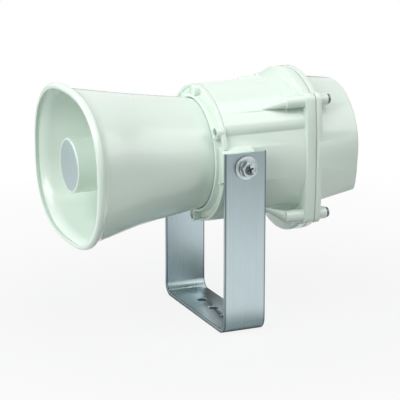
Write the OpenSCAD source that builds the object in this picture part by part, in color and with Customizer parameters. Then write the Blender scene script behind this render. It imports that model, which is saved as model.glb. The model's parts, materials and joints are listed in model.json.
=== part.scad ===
// Weatherproof folded-horn loudspeaker on a U-shaped stainless bracket.
// Millimetres. +Z is up and the mouth faces -Y. The origin is the centre of the
// bracket's mounting face. The horn's own axis runs along Y at the height of the pivot.

/* [Bracket] */
// Outside width across the two arms
bracket_w = 104; // [102:1:112]
// Width of the strip, front to back
strip_w = 30; // [26:1:36]
// Thickness of the strip
strip_t = 2.5; // [2:0.5:3]
// Height of the pivot above the mounting face
pivot_h = 116; // [112:1:130]
// Length of each arm above the pivot
arm_over = 10; // [9:1:14]
// Outside radius of the two bends
bend_r = 9; // [6:1:12]
// Diameter of each mounting hole
mount_hole_d = 7; // [5:0.5:8]
// Distance from one mounting hole to the next
mount_pitch = 20; // [16:1:26]

/* [Pivot] */
// Diameter of the pivot screw's shank
pivot_d = 6; // [5:0.5:6.5]
// Width across the flats of the hexagon head
hex_af = 10; // [9:0.5:11]
// Height of the hexagon head
hex_h = 4.2; // [3.5:0.1:5]
// Outside diameter of the flat washer
washer_d = 16; // [14:0.5:18]
// Thickness of the flat washer
washer_t = 1.5; // [1:0.1:2]
// Outside diameter of the spring washer
spring_washer_d = 11.4; // [11:0.1:12]
// Thickness of the spring washer
spring_washer_t = 1.6; // [1.2:0.1:2]
// Outside diameter of the threaded insert
insert_d = 9; // [8:0.5:10]
// Length of the threaded insert
insert_l = 7.5; // [6:0.5:7.5]

/* [Bell] */
// Distance from the pivot forward to the front of the lip
mouth_reach = 108.4; // [106:0.2:112]
// Height of the mouth over the rolled lip
mouth_h = 107.6; // [106:0.2:112]
// Width of the mouth over the rolled lip
mouth_w = 128.4; // [118:0.2:130]
// How square the mouth is: 2 is an ellipse
mouth_power = 2.5; // [2:0.1:2.8]
// Length over which the round cone takes the mouth's shape
mouth_blend = 58; // [30:1:62]
// Radius of the rolled lip's bead
lip_r = 2.3; // [2:0.1:2.6]
// Outside diameter where the cone turns into the flare
cone_front_d = 97.8; // [95:0.2:99]
// Distance from the pivot forward to that turn
cone_front_y = 92; // [88:1:94]
// Outside diameter of the cone at its back end
cone_back_d = 75.6; // [74:0.2:76]
// Wall of the bell
bell_wall = 2.6; // [2.2:0.1:3]

/* [Reflector] */
// Outside diameter of the reflector cup's nose
cup_d = 37; // [35:0.5:38]
// Distance from the pivot forward to the cup's front face
cup_reach = 105.5; // [102:0.5:107]
// Outside diameter of the cup's open back end
cup_back_d = 52; // [46:1:54]
// Distance from the pivot forward to the cup's open back end
cup_back_y = 30; // [28:1:36]
// Wall of the cup
cup_wall = 1.8; // [1.5:0.1:2.2]
// Diameter of the front plate
plate_d = 33.8; // [31:0.2:34]
// Thickness of the front plate
plate_t = 0.8; // [0.6:0.1:1]
// Outside diameter of the throat tube
tube_d = 24; // [22:0.5:25]
// Bore of the throat tube at its open front end
tube_bore_front = 20.6; // [18:0.2:21]
// Bore of the throat tube at the driver
tube_bore_back = 15; // [12:0.5:16]
// Gap from the tube's open end to the cup's end wall
turn_gap = 10; // [8:1:14]

/* [Front flange] */
// Distance from the pivot forward to the joint with the housing
front_joint_y = 10; // [9:0.5:11]
// Outside diameter of the flange
flange_d = 94.2; // [92:0.2:96]
// Thickness of the flange's web
flange_t = 2.2; // [1.8:0.1:2.6]
// How far the collar stands in front of the joint
collar_h = 6.6; // [6:0.1:7.5]
// Width of the collar's ring
collar_w = 1.9; // [1.5:0.1:2.2]
// Radius at which the flange screws sit
flange_screw_r = 43.6; // [43:0.1:44]
// Radius of each flange screw's boss
flange_boss_r = 4.4; // [4:0.1:4.8]

/* [Housing] */
// Diameter of the round barrel
barrel_d = 94.6; // [93:0.2:96]
// Distance from the pivot back to the joint with the rear cover
rear_joint_y = 56; // [55:1:60]
// Thickness of the housing's rear flange
housing_flange_t = 6.5; // [5:0.5:7.5]
// Distance across the barrel's two upright flats
flats_w = 86.6; // [85:0.2:88]
// Diameter of the cavity
cavity_d = 81; // [79.6:0.2:82]
// Thickness of the front wall
front_wall = 3.5; // [3:0.5:4]
// Half height of the pivot pad at the bracket arm
pad_half_h = 9.8; // [9:0.1:10.5]
// Distance from the pivot forward to the pad's front face
pad_front = 15; // [14:0.5:15]
// Distance from the pivot back to the pad's end
pad_back = 8; // [7:0.5:11]

/* [Rear cover] */
// Distance from the pivot back to the cover's end face
cover_end_y = 90.5; // [88:0.5:96]
// Diameter of the cup's round top where it leaves the flange
cover_d = 91; // [88:0.2:92]
// Diameter of the cup's round top at its end
cover_end_d = 83.4; // [80:0.2:86]
// How far the round top's centre sits above the horn's axis
cover_rise = 1.9; // [0:0.1:3]
// Distance from the horn's axis down to the cup's flat underside at its end
cover_low = 28.3; // [27:0.1:31]
// Half width of that flat underside
cover_low_x = 37.4; // [36:0.1:38.4]
// Radius of the rounded end edge
cover_edge_r = 1.6; // [1:0.2:2]
// Wall of the cover
cover_wall = 3; // [2.5:0.1:3.5]
// Thickness of the cover's flange
cover_flange_t = 4.2; // [3.5:0.1:5]
// Thickness of the gasket between housing and cover
gasket_t = 0.5; // [0.4:0.1:1]
// Radius of each cover screw's boss
cover_boss_r = 4.2; // [4:0.1:4.6]
// Length of each boss behind the cover's flange
cover_boss_l = 6.2; // [5:0.2:8]

/* [Driver] */
// Diameter of the diaphragm's dome
dome_d = 34.4; // [33:0.2:35]
// Height of the dome
dome_h = 4.7; // [4:0.1:5]
// Diameter of the top plate and the rings in front of it
driver_d = 77; // [75:0.5:78]
// Thickness of the top plate
top_plate_t = 5.5; // [4.5:0.5:6]
// Outside diameter of the ring magnet
magnet_d = 62; // [58:0.5:64]
// Thickness of the ring magnet
magnet_t = 11; // [9:0.5:12]
// Thickness of the yoke's back plate
yoke_t = 6; // [5:0.5:7]
// Free travel of the diaphragm each way
travel = 0.35; // [0.2:0.05:0.4]

/* [Transformer and terminals] */
// Width of the laminated core
core_w = 40; // [36:1:42]
// Height of the laminated core
core_h = 34; // [32:1:36]
// Stack of the laminated core
core_t = 14; // [12:1:15]
// Width of the terminal block
terminal_w = 28; // [24:1:32]
// Bore of the cable grommet
cable_d = 7; // [6:0.5:8]

/* [Hidden] */
$fn = 96;

// Play between a part and the hole that takes it, on the radius
slip = 0.1;
// Play of the pivot screw in the bracket arm, on the radius
pivot_play = 0.05;
// A cut runs this far past the face that it goes through
past = 1;

// Bracket
arm_x = bracket_w / 2 - strip_t;
arm_top = pivot_h + arm_over;

// Pivot
pad_gap = 0.1;
pad_x = arm_x - pad_gap;
insert_end_x = pad_x - insert_l;
pivot_end_x = insert_end_x + 0.5;

// Bell: the flare is an arc tangent to the cone and to the lip's bead
seal_t = 1;
seat_y = -front_joint_y - 3.8;
bell_back_y = seat_y - seal_t;
cone_slope = (cone_front_d - cone_back_d) / 2 / (cone_front_y + bell_back_y);
cone_angle = atan(cone_slope);
bead_y = -(mouth_reach - lip_r);
bead_r = mouth_h / 2 - lip_r;
flare_dy = -cone_front_y - bead_y;
flare_dr = cone_front_d / 2 - bead_r;
flare_r = (flare_dy * flare_dy + flare_dr * flare_dr - lip_r * lip_r)
    / (2 * (lip_r - flare_dy * sin(cone_angle) - flare_dr * cos(cone_angle)));
flare_cy = -cone_front_y + flare_r * sin(cone_angle);
flare_cr = cone_front_d / 2 + flare_r * cos(cone_angle);
flare_end = atan((flare_cy - bead_y) / (flare_cr - bead_r));
blend_y = -mouth_reach + mouth_blend;
bell_start_y = bell_back_y - 0.8;
bell_stations = [bell_start_y, blend_y, (blend_y * 2 - cone_front_y) / 3, (blend_y - cone_front_y * 2) / 3];
bell_steps = 72;
flare_steps = 6;
spigot_l = 2.8;

// Reflector
cup_r = cup_d / 2;
cup_straight_y = -0.68 * cup_reach;
cup_inside_y = -cup_reach + plate_t + 2.2;
tube_front_y = cup_inside_y + turn_gap;
hub_wall = 1.6;
hub_back_y = -cup_back_y - 14;
hub_l = 16;
fin_t = 1.6;
fin_set = 0.6;

// Front flange
joint_y = -front_joint_y;
web_y = joint_y - flange_t;
collar_y = joint_y - collar_h;
rim_w = 1.6;
rim_h = 1.2;
collar_bore_r = cone_back_d / 2 + (bell_back_y - collar_y) * cone_slope + 0.35;
throat_flange_r = cone_back_d / 2 - bell_wall - 0.2;
flange_screw_angles = [30, 150, 270];
flange_screw_d = 3;
flange_head_d = 5.8;
flange_head_h = 2;
flange_screw_depth = 12;
boss_face_y = collar_y + 0.3;
counterbore_y = web_y - 1.2;
ring_r = collar_bore_r + collar_w + 1.3;
pad_room = 0.3;

// Housing
barrel_r = barrel_d / 2;
flats_x = flats_w / 2;
wall_y = joint_y + front_wall;
housing_flange_y = rear_joint_y - housing_flange_t;
shoulder_r = 8;
shoulder_angle = 35;
notch_z = 19.3;
notch_x = 39.4;
flat_top_z = 10;
flat_low_z = -13;
incline_low_z = -34.4;
incline_low_x = sqrt(barrel_r * barrel_r - incline_low_z * incline_low_z);
pocket_r = barrel_r - 3.3;
pocket_half_w = 29;
pocket_y = 8;
pad_root_x = 31;
pad_root_half_h = 15.6;

// Flange outline shared by the housing, the gasket and the rear cover
side_x = 44.6;
side_top_z = 17;
side_low_z = -21.5;
arc_r = 54.3;
low_arc_z = -6;
upper_screw = [36.6, 37.8];
lower_screw = [37.4, -41.8];
corner_r = 6.1;
cover_screw_points = [
    upper_screw, [-upper_screw[0], upper_screw[1]],
    lower_screw, [-lower_screw[0], lower_screw[1]]
];
housing_boss_l = 13.5;
fin_l = 15;
fin_root = 2;
cover_screw_d = 4;
cover_head_d = 7;
cover_head_h = 2.4;
cover_screw_depth = 12;

// Rear cover
cover_flange_y = rear_joint_y + gasket_t;
cover_cup_y = cover_flange_y + cover_flange_t;
cover_inside_y = cover_end_y - cover_wall;
boss_end_y = cover_cup_y + cover_boss_l;
cover_draft = (cover_d - cover_end_d) / 2 / (cover_end_y - cover_cup_y);

// Driver stack, from the front wall backwards
plug_r = 21.5;
plug_nose_l = 7;
plug_nose_gap = 1.5;
plug_slot_t = 1.8;
plug_slot_in = 1.3;
plug_slot_reach = 14;
plug_back_y = 0;
surround_y = 1.8;
surround_t = 0.5;
ring_y = surround_y + surround_t;
ring_t = 2.7;
plate_y = ring_y + ring_t;
magnet_y = plate_y + top_plate_t;
yoke_y = magnet_y + magnet_t;
yoke_end_y = yoke_y + yoke_t;
dome_r = dome_d / 2;
dome_t = 0.4;
dome_sphere_r = (dome_r * dome_r + dome_h * dome_h) / (2 * dome_h);
dome_base_y = ring_y + dome_t;
dome_centre_y = dome_base_y - dome_h + dome_sphere_r;
dome_rim_r = dome_r + 1.6;
compression_gap = 1;
former_r = dome_r - 0.3;
former_t = 0.4;
coil_t = 1;
air_gap = 0.5;
pole_r = former_r - air_gap;
plate_bore_r = former_r + coil_t + air_gap;
surround_bore_r = dome_r + 0.2;
surround_free_r = 26;
driver_screw_r = driver_d / 2 - 3.7;
driver_screw_d = 3;
driver_head_d = 5.4;
driver_head_h = 2;
driver_screw_sink = 0.8;

// Transformer behind the yoke
core_leg = 12;
core_window = 7;
core_bar = 7;
core_window_h = core_h - 2 * core_bar;
winding_gap = 0.3;
winding_out = 6;
winding_clear = 1.5;
core_y = yoke_end_y + winding_out + winding_clear;
strap_t = 1.2;
strap_w = 12;
strap_gap = 0.4;
foot_l = 9;
foot_screw_x = core_w / 2 + strap_t + foot_l / 2;
foot_screw_d = 3;
foot_head_d = 5.6;
foot_head_h = 2;
foot_screw_floor = 1;
yoke_step = 2;
magnet_gap = 2.5;

// Terminals and cable entry on the rear cover's end wall
terminal_h = 12;
terminal_l = 10;
terminal_z = 12;
terminal_ways = 4;
terminal_pitch = terminal_w / terminal_ways;
terminal_screw_up = 2.4;
terminal_screw_r = 2;
terminal_screw_sink = 1.4;
terminal_floor = 2;
terminal_slot_half = 1.6;
terminal_slot_depth = 6;
terminal_slot_low = 4.4;
terminal_slot_high = 1.2;
cable_z = -16.5;
grommet_wall = 2.5;
grommet_r = cable_d / 2 + grommet_wall;
grommet_lip = 1.6;
grommet_lip_t = 1.2;
grommet_stand = 1.4;
cable_room = 0.3;
cable_drop = 0.4;
clamp_z = cable_z + cable_d / 2 + cable_room;
shelf_z = cable_z - cable_d / 2 - cable_drop;
shelf_l = 12;
clamp_screw_x = 9;
clamp_screw_d = 2.5;
clamp_screw_depth = 7;
clamp_head_d = 4.8;
clamp_head_h = 1.8;
clamp_hole_d = 2.9;
clamp_end = 3.4;
clamp_half_w = 3;
clamp_t = 2.6;
clamp_post_r = 2.6;

body_white = [0.93, 0.95, 0.92];
steel = [0.72, 0.74, 0.76];

// Moves a part from the horn's own frame, with its origin on the pivot, to its place
module at_pivot() {
    translate([0, 0, pivot_h]) children();
}

// Turns a shape drawn along Z so that it runs along Y; a height z becomes -y here
module along_y() {
    rotate([-90, 0, 0]) children();
}

// Turned solid about the horn's axis from points [y, radius]
module turned(points) {
    along_y() rotate_extrude() polygon([for (p = points) [p[1], p[0]]]);
}

// Round bar along Y from y0 to y1 at the place [x, z]
module bar_y(at, y0, y1, r) {
    translate([at[0], 0, at[1]]) along_y() translate([0, 0, y0]) cylinder(h = y1 - y0, r = r);
}

// Flat shape [x, z] pulled along Y from y0 to y1
module slab_y(points, y0, y1) {
    translate([0, y1, 0]) rotate([90, 0, 0]) linear_extrude(y1 - y0) polygon(points);
}

// Box from one corner to the other
module block(low, high) {
    translate(low) cube(high - low);
}

// Faces between rings of points; a closed row also joins the last ring to the first
function skin_faces(rings, count, closed) = [
    for (i = [0:rings - (closed ? 1 : 2)]) for (j = [0:count - 1])
        let (a = i * count + j, b = i * count + (j + 1) % count)
        let (c = (i + 1) % rings * count + j, d = (i + 1) % rings * count + (j + 1) % count)
        each [[a, b, d], [a, d, c]]
];

// Solid through rings that all have the same number of points
module skin(rings, closed) {
    count = len(rings[0]);
    last = (len(rings) - 1) * count;
    ends = closed ? [] : [[for (j = [count - 1:-1:0]) j], [for (j = [0:count - 1]) last + j]];
    polyhedron(points = [for (ring = rings) each ring],
        faces = concat(skin_faces(len(rings), count, closed), ends));
}

function arc(cx, cy, r, from, to, steps) =
    [for (i = [0:steps]) let (a = from + (to - from) * i / steps) [cx + r * cos(a), cy + r * sin(a)]];

function flip_x(points) = [for (i = [len(points) - 1:-1:0]) [-points[i][0], points[i][1]]];

// Right half of the rear flange's outline, from the bottom to the top
function flange_half(inset) = concat(
    arc(0, low_arc_z, arc_r - inset, -90, -54, 8),
    arc(lower_screw[0], lower_screw[1], corner_r - inset, -62, -8, 6),
    [[side_x - inset, side_low_z], [side_x - inset, side_top_z]],
    arc(upper_screw[0], upper_screw[1], corner_r - inset, 12, 62, 6),
    arc(0, 0, arc_r - inset, 52, 90, 8)
);

function flange_outline(inset) = concat(flange_half(inset), flip_x(flange_half(inset)));

module bracket_blank(inset, depth) {
    half = bracket_w / 2 - inset;
    r = bend_r - inset;
    translate([0, depth / 2, 0]) rotate([90, 0, 0]) linear_extrude(depth) polygon(concat(
        [[-half, arm_top + (inset > 0 ? past : 0)]],
        arc(-half + r, inset + r, r, 180, 270, 10),
        arc(half - r, inset + r, r, 270, 360, 10),
        [[half, arm_top + (inset > 0 ? past : 0)]]
    ));
}

module bracket() {
    color(steel) difference() {
        bracket_blank(0, strip_w);
        bracket_blank(strip_t, strip_w + 2 * past);
        for (i = [-1:1])
            translate([i * mount_pitch, 0, -past]) cylinder(h = strip_t + 2 * past, d = mount_hole_d);
        for (side = [-1, 1])
            translate([side * (arm_x - past), 0, pivot_h]) rotate([0, side * 90, 0])
                cylinder(h = strip_t + 2 * past, r = pivot_d / 2 + pivot_play);
    }
}

// Points of the flare at one distance outside its own arc
function flare_points(extra, last, steps) = [
    for (i = [0:steps]) let (a = cone_angle + (last - cone_angle) * i / steps)
    [flare_cy - (flare_r + extra) * sin(a), flare_cr - (flare_r + extra) * cos(a)]
];

// The bead starts where the flare's outside meets it and ends inside the mouth
function bead_points(steps) = [
    for (i = [0:steps]) let (a = 90 - flare_end + (flare_end + 110) * i / steps)
    [bead_y + lip_r * cos(a), bead_r + lip_r * sin(a)]
];

// Radius of the straight cone's outside
function cone_r(y) = cone_back_d / 2 + (bell_back_y - y) * cone_slope;

// Share of the mouth's own shape at the distance y: 0 is the round cone, 1 is the mouth
function mouth_share(y) =
    let (t = max(0, min(1, (blend_y - y) / (blend_y - bead_y))))
    t * t * (3 - 2 * t);

// Point of the bell at the angle a; the profile's own radius is kept at the top and at the bottom
function bell_point(p, a) =
    let (share = mouth_share(p[0]), power = 2 + share * (mouth_power - 2))
    let (wide = p[1] + share * (mouth_w - mouth_h) / 2)
    let (r = pow(pow(abs(cos(a)) / wide, power) + pow(abs(sin(a)) / p[1], power), -1 / power))
    [r * cos(a), p[0], r * sin(a)];

module horn_bell() {
    inside = flare_points(bell_wall, flare_end - 1, flare_steps);
    last = len(bell_stations) - 1;
    profile = concat(
        [for (y = bell_stations) [y, cone_r(y)]],
        flare_points(0, flare_end, flare_steps),
        bead_points(9),
        [for (i = [flare_steps:-1:0]) inside[i]],
        [for (i = [last:-1:0]) [bell_stations[i], cone_r(bell_stations[i]) - bell_wall]]
    );
    color(body_white) at_pivot() {
        skin([for (i = [0:bell_steps - 1]) [for (p = profile) bell_point(p, 360 * i / bell_steps)]], true);
        turned([
            [bell_back_y - spigot_l, cone_back_d / 2 - bell_wall + 0.7],
            [bell_back_y - spigot_l, cone_back_d / 2 - 0.3],
            [bell_back_y, cone_back_d / 2 - 0.3], [bell_back_y, cone_back_d / 2 - bell_wall + 0.7]
        ]);
    }
}

module bell_seal() {
    color([0.2, 0.2, 0.2]) at_pivot() turned([
        [bell_back_y, cone_back_d / 2 - bell_wall], [bell_back_y, cone_back_d / 2],
        [seat_y, cone_back_d / 2], [seat_y, cone_back_d / 2 - bell_wall]
    ]);
}

// Radius of the cup behind its straight nose
function cup_flare(y, inset) =
    let (t = (y - cup_straight_y) / (-cup_back_y - cup_straight_y))
    cup_r + (cup_back_d / 2 - cup_r) * t * t - inset;

module reflector_cup() {
    steps = 10;
    ys = [for (i = [0:steps]) cup_straight_y + (-cup_back_y - cup_straight_y) * i / steps];
    color(body_white) at_pivot() {
        turned(concat(
            [[cup_inside_y + 5, 0], [-cup_reach + plate_t, 0], [-cup_reach + plate_t, plate_d / 2 + slip]],
            [[-cup_reach, plate_d / 2 + slip]],
            arc(-cup_reach + 0.6, cup_r - 0.6, 0.6, 180, 90, 4),
            [for (y = ys) [y, cup_flare(y, 0)]],
            [for (i = [steps:-1:0]) [ys[i], cup_flare(ys[i], cup_wall)]],
            [[cup_inside_y, cup_r - cup_wall], [cup_inside_y, 7]]
        ));
        difference() {
            union() {
                turned([
                    [hub_back_y - hub_l, 0], [hub_back_y - hub_l, tube_d / 2 + slip + hub_wall],
                    [hub_back_y, tube_d / 2 + slip + hub_wall], [hub_back_y, 0]
                ]);
                for (a = [90, 210, 330]) rotate([0, a, 0])
                    block([tube_d / 2, hub_back_y - hub_l + fin_set, -fin_t / 2],
                        [cup_flare(hub_back_y - hub_l, cup_wall) + 0.3, hub_back_y - fin_set, fin_t / 2]);
            }
            along_y() translate([0, 0, hub_back_y - hub_l - past])
                cylinder(h = hub_l + 2 * past, r = tube_d / 2 + slip);
        }
    }
}

module cup_plate() {
    color([0.66, 0.69, 0.71]) at_pivot() turned([
        [-cup_reach, 0], [-cup_reach, plate_d / 2 - 0.2], [-cup_reach + 0.2, plate_d / 2],
        [-cup_reach + plate_t, plate_d / 2], [-cup_reach + plate_t, 0]
    ]);
}

module throat_tube() {
    bowl = 9;
    color([0.85, 0.87, 0.85]) at_pivot() difference() {
        turned(concat(
            [[tube_front_y, tube_bore_front / 2], [tube_front_y, tube_d / 2]],
            arc(seat_y - bowl, tube_d / 2 + bowl, bowl, -90, 0, 8),
            [[seat_y, throat_flange_r], [joint_y, throat_flange_r]],
            [[joint_y, plug_r], [wall_y, plug_r], [wall_y, tube_bore_back / 2]]
        ));
    }
}

module screw_boss_places() {
    for (a = flange_screw_angles)
        translate([flange_screw_r * cos(a), 0, flange_screw_r * sin(a)]) children();
}

function pad_profile(grow) = [
    [pad_root_x - grow, pad_root_half_h + grow], [pad_x + grow, pad_half_h + grow],
    [pad_x + grow, -pad_half_h - grow], [pad_root_x - grow, -pad_root_half_h - grow]
];

module front_flange() {
    color(body_white) at_pivot() difference() {
        union() {
            turned([
                [joint_y, throat_flange_r + slip], [joint_y, flange_d / 2 - 0.3],
                [joint_y - 0.3, flange_d / 2], [web_y - rim_h + 0.4, flange_d / 2],
                [web_y - rim_h, flange_d / 2 - 0.4], [web_y - rim_h, flange_d / 2 - rim_w],
                [web_y, flange_d / 2 - rim_w - 0.5], [web_y, collar_bore_r + collar_w + 0.6],
                [collar_y + 0.5, collar_bore_r + collar_w], [collar_y, collar_bore_r + collar_w - 0.5],
                [collar_y, collar_bore_r + 0.3], [collar_y + 0.3, collar_bore_r],
                [seat_y, collar_bore_r], [seat_y, throat_flange_r + slip]
            ]);
            screw_boss_places() along_y() translate([0, 0, boss_face_y])
                cylinder(h = joint_y - boss_face_y, r = flange_boss_r);
            bar_y([0, flange_screw_r], boss_face_y, joint_y, flange_boss_r);
        }
        screw_boss_places() along_y() {
            translate([0, 0, boss_face_y - past])
                cylinder(h = counterbore_y - boss_face_y + past, d = flange_head_d + 2 * slip);
            translate([0, 0, counterbore_y - past])
                cylinder(h = joint_y - counterbore_y + 2 * past, d = flange_screw_d + 2 * slip);
        }
        difference() {
            union() {
                slab_y(pad_profile(pad_room), collar_y - past, joint_y + past);
                slab_y(flip_x(pad_profile(pad_room)), collar_y - past, joint_y + past);
            }
            along_y() translate([0, 0, collar_y - 2 * past])
                cylinder(h = collar_h + 4 * past, r = ring_r);
        }
    }
}

module flange_screws() {
    color(steel) at_pivot() screw_boss_places() along_y() {
        translate([0, 0, counterbore_y]) cylinder(h = flange_screw_depth + joint_y - counterbore_y,
            d = flange_screw_d);
        difference() {
            translate([0, 0, counterbore_y - flange_head_h]) cylinder(h = flange_head_h, d = flange_head_d);
            for (turn = [0, 90]) rotate([0, 0, turn])
                block([-1.7, -0.35, counterbore_y - flange_head_h - past],
                    [1.7, 0.35, counterbore_y - flange_head_h + 1.1]);
        }
    }
}

// Right side of the barrel's cross-section, from below to above; the shoulder curls into a recess
function barrel_half() = concat(
    [[barrel_r * 0.72, -barrel_r - past], [incline_low_x + 8, incline_low_z - 3]],
    [[incline_low_x, incline_low_z], [flats_x, flat_low_z], [flats_x, flat_top_z], [notch_x, notch_z]],
    arc((barrel_r - shoulder_r) * cos(shoulder_angle), (barrel_r - shoulder_r) * sin(shoulder_angle),
        shoulder_r + 0.05, -14, shoulder_angle, 6),
    [[barrel_r * 0.72, barrel_r + past]]
);

module barrel(y0, y1) {
    intersection() {
        along_y() translate([0, 0, y0]) cylinder(h = y1 - y0, r = barrel_r);
        slab_y(concat(barrel_half(), flip_x(barrel_half())), y0, y1);
    }
}

// Tapered lead-in from the barrel up to a screw boss
module boss_fin(at) {
    distance = norm(at);
    tip = distance - barrel_r + 0.4;
    lean = atan(tip / (fin_l + fin_root));
    translate([at[0], housing_flange_y - housing_boss_l + fin_root, at[1]])
        rotate([0, -atan2(at[1], at[0]), 0]) rotate([90, 0, 0]) rotate([0, -lean, 0])
            cylinder(h = (fin_l + fin_root) / cos(lean), r1 = cover_boss_r - 0.15, r2 = 0.6);
}

module housing() {
    color(body_white) at_pivot() difference() {
        union() {
            barrel(joint_y, rear_joint_y - 1);
            slab_y(flange_outline(0), housing_flange_y, rear_joint_y);
            slab_y(pad_profile(0), -pad_front, pad_back);
            slab_y(flip_x(pad_profile(0)), -pad_front, pad_back);
            for (at = cover_screw_points) {
                bar_y(at, housing_flange_y - housing_boss_l, rear_joint_y - 1, cover_boss_r);
                boss_fin(at);
            }
        }
        along_y() translate([0, 0, wall_y]) cylinder(h = rear_joint_y - wall_y + past, d = cavity_d);
        intersection() {
            along_y() translate([0, 0, pocket_y]) cylinder(h = rear_joint_y - pocket_y + past, r = pocket_r);
            block([-pocket_half_w, pocket_y, -barrel_r], [pocket_half_w, rear_joint_y + past, barrel_r]);
        }
        along_y() translate([0, 0, joint_y - past]) cylinder(h = front_wall + 2 * past, r = plug_r + slip);
        along_y() translate([0, 0, -pad_front - past])
            cylinder(h = pad_front - front_joint_y + past, r = ring_r + pad_room);
        screw_boss_places() along_y() translate([0, 0, joint_y - past])
            cylinder(h = flange_screw_depth + past, d = flange_screw_d);
        for (at = cover_screw_points)
            bar_y(at, rear_joint_y - cover_screw_depth, rear_joint_y + past, cover_screw_d / 2);
        for (a = [45:90:315])
            bar_y([driver_screw_r * cos(a), driver_screw_r * sin(a)], joint_y + driver_screw_sink, wall_y + past,
                driver_screw_d / 2);
        for (side = [-1, 1]) {
            translate([side * insert_end_x, 0, 0]) rotate([0, side * 90, 0])
                cylinder(h = insert_l + past, d = insert_d);
            block([side * 43.2 - 0.6, -pad_front - past, -pad_root_half_h],
                [side * 43.2 + 0.6, -pad_front + 0.8, pad_root_half_h]);
        }
    }
}

module rear_gasket() {
    color([0.25, 0.26, 0.26]) at_pivot() difference() {
        slab_y(flange_outline(0.3), rear_joint_y, cover_flange_y);
        along_y() translate([0, 0, rear_joint_y - past]) cylinder(h = gasket_t + 2 * past, d = cavity_d);
        for (at = cover_screw_points)
            bar_y(at, rear_joint_y - past, cover_flange_y + past, cover_screw_d / 2 + slip);
    }
}

// Right half of the cup's section at its end, from below to above; a negative inset makes it larger
function cover_half(inset) = concat(
    [[cover_low_x - inset - 1.2, -cover_low + inset], [cover_low_x - inset, -cover_low + inset + 1.6]],
    [[cover_low_x - inset + 1.3, -22.5], [cover_low_x - inset + 2.7, -15.4]],
    arc(0, cover_rise, cover_end_d / 2 - inset, -10, 90, 20)
);

function cover_ring(y, inset) =
    let (half = cover_half(inset), last = len(half) - 1)
    concat([for (p = half) [p[0], y, p[1]]], [for (i = [last - 1:-1:0]) [-half[i][0], y, half[i][1]]]);

// Cup with its draft from the flange to the end and a rounded end edge
module cover_cup(start_y, end_y, inset, edge) {
    skin(concat(
        [cover_ring(start_y, inset - cover_draft * (end_y - start_y))],
        [for (a = [0:22.5:90]) cover_ring(end_y - edge + edge * sin(a), inset + edge * (1 - cos(a)))]
    ), false);
}

module rear_cover() {
    color(body_white) at_pivot() difference() {
        union() {
            slab_y(flange_outline(0), cover_flange_y, cover_cup_y);
            cover_cup(cover_flange_y + 1, cover_end_y, 0, cover_edge_r);
            for (at = cover_screw_points) bar_y(at, cover_flange_y + 1, boss_end_y, cover_boss_r);
            for (at = cover_screw_points) rotate([0, -atan2(at[1], at[0]), 0])
                block([cover_d / 2 - 4, cover_flange_y + 1.5, -1], [norm(at), boss_end_y - 2, 1]);
        }
        difference() {
            cover_cup(cover_flange_y - past, cover_inside_y, cover_wall, 1);
            block([-clamp_screw_x - 4, cover_inside_y - shelf_l, -cover_d],
                [clamp_screw_x + 4, cover_end_y, shelf_z]);
        }
        for (at = cover_screw_points)
            bar_y(at, cover_flange_y - past, boss_end_y + past, cover_screw_d / 2 + slip);
        bar_y([0, cable_z], cover_inside_y - past, cover_end_y + past, grommet_r);
        bar_y([0, cable_z], cover_inside_y - grommet_lip_t - 0.3, cover_inside_y, grommet_r + grommet_lip + 0.3);
        for (side = [-1, 1])
            translate([side * clamp_screw_x, cover_inside_y - shelf_l / 2, shelf_z - clamp_screw_depth - past])
                cylinder(h = clamp_screw_depth + 2 * past, d = clamp_screw_d);
    }
}

module cover_screws() {
    color(steel) at_pivot() for (at = cover_screw_points) translate([at[0], 0, at[1]]) along_y() {
        translate([0, 0, rear_joint_y - cover_screw_depth])
            cylinder(h = boss_end_y - rear_joint_y + cover_screw_depth, d = cover_screw_d);
        difference() {
            translate([0, 0, boss_end_y]) cylinder(h = cover_head_h, d1 = cover_head_d, d2 = cover_head_d - 1.4);
            for (turn = [0, 90]) rotate([0, 0, turn])
                block([-1.9, -0.4, boss_end_y + cover_head_h - 1.3],
                    [1.9, 0.4, boss_end_y + cover_head_h + past]);
        }
    }
}

// Places a turned part of the pivot on one side: 1 is +X, -1 is -X
module pivot_side(side) {
    at_pivot() rotate([0, side * 90, 0]) children();
}

module pivot_insert(side) {
    color([0.8, 0.65, 0.35]) pivot_side(side) difference() {
        translate([0, 0, insert_end_x]) cylinder(h = insert_l, d = insert_d);
        translate([0, 0, insert_end_x - past]) cylinder(h = insert_l + 2 * past, d = pivot_d);
    }
}

module pivot_screw(side) {
    head_x = bracket_w / 2 + washer_t + spring_washer_t;
    color([0.8, 0.8, 0.82]) pivot_side(side) {
        translate([0, 0, pivot_end_x]) cylinder(h = head_x - pivot_end_x, d = pivot_d);
        difference() {
            intersection() {
                translate([0, 0, head_x]) rotate([0, 0, 20]) cylinder(h = hex_h, d = hex_af / cos(30), $fn = 6);
                translate([0, 0, head_x]) cylinder(h = hex_h, d1 = hex_af / cos(30) + 6, d2 = hex_af + 0.2);
            }
            translate([0, 0, head_x + hex_h - 0.4]) cylinder(h = 1, d = hex_af - 2.4);
            for (turn = [20, 110]) rotate([0, 0, turn])
                block([-2.6, -0.55, head_x + hex_h - 2.2], [2.6, 0.55, head_x + hex_h + past]);
        }
    }
}

module spring_washer(side) {
    start = bracket_w / 2 + washer_t;
    color(steel) pivot_side(side) difference() {
        translate([0, 0, start]) cylinder(h = spring_washer_t, d = spring_washer_d);
        translate([0, 0, start - past]) cylinder(h = spring_washer_t + 2 * past, d = pivot_d + 2 * slip);
        translate([0, 0, start + spring_washer_t / 2]) rotate([0, 60, 0])
            block([-3, pivot_d / 2 - 0.5, -0.3], [3, spring_washer_d / 2 + past, 0.3]);
    }
}

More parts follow.
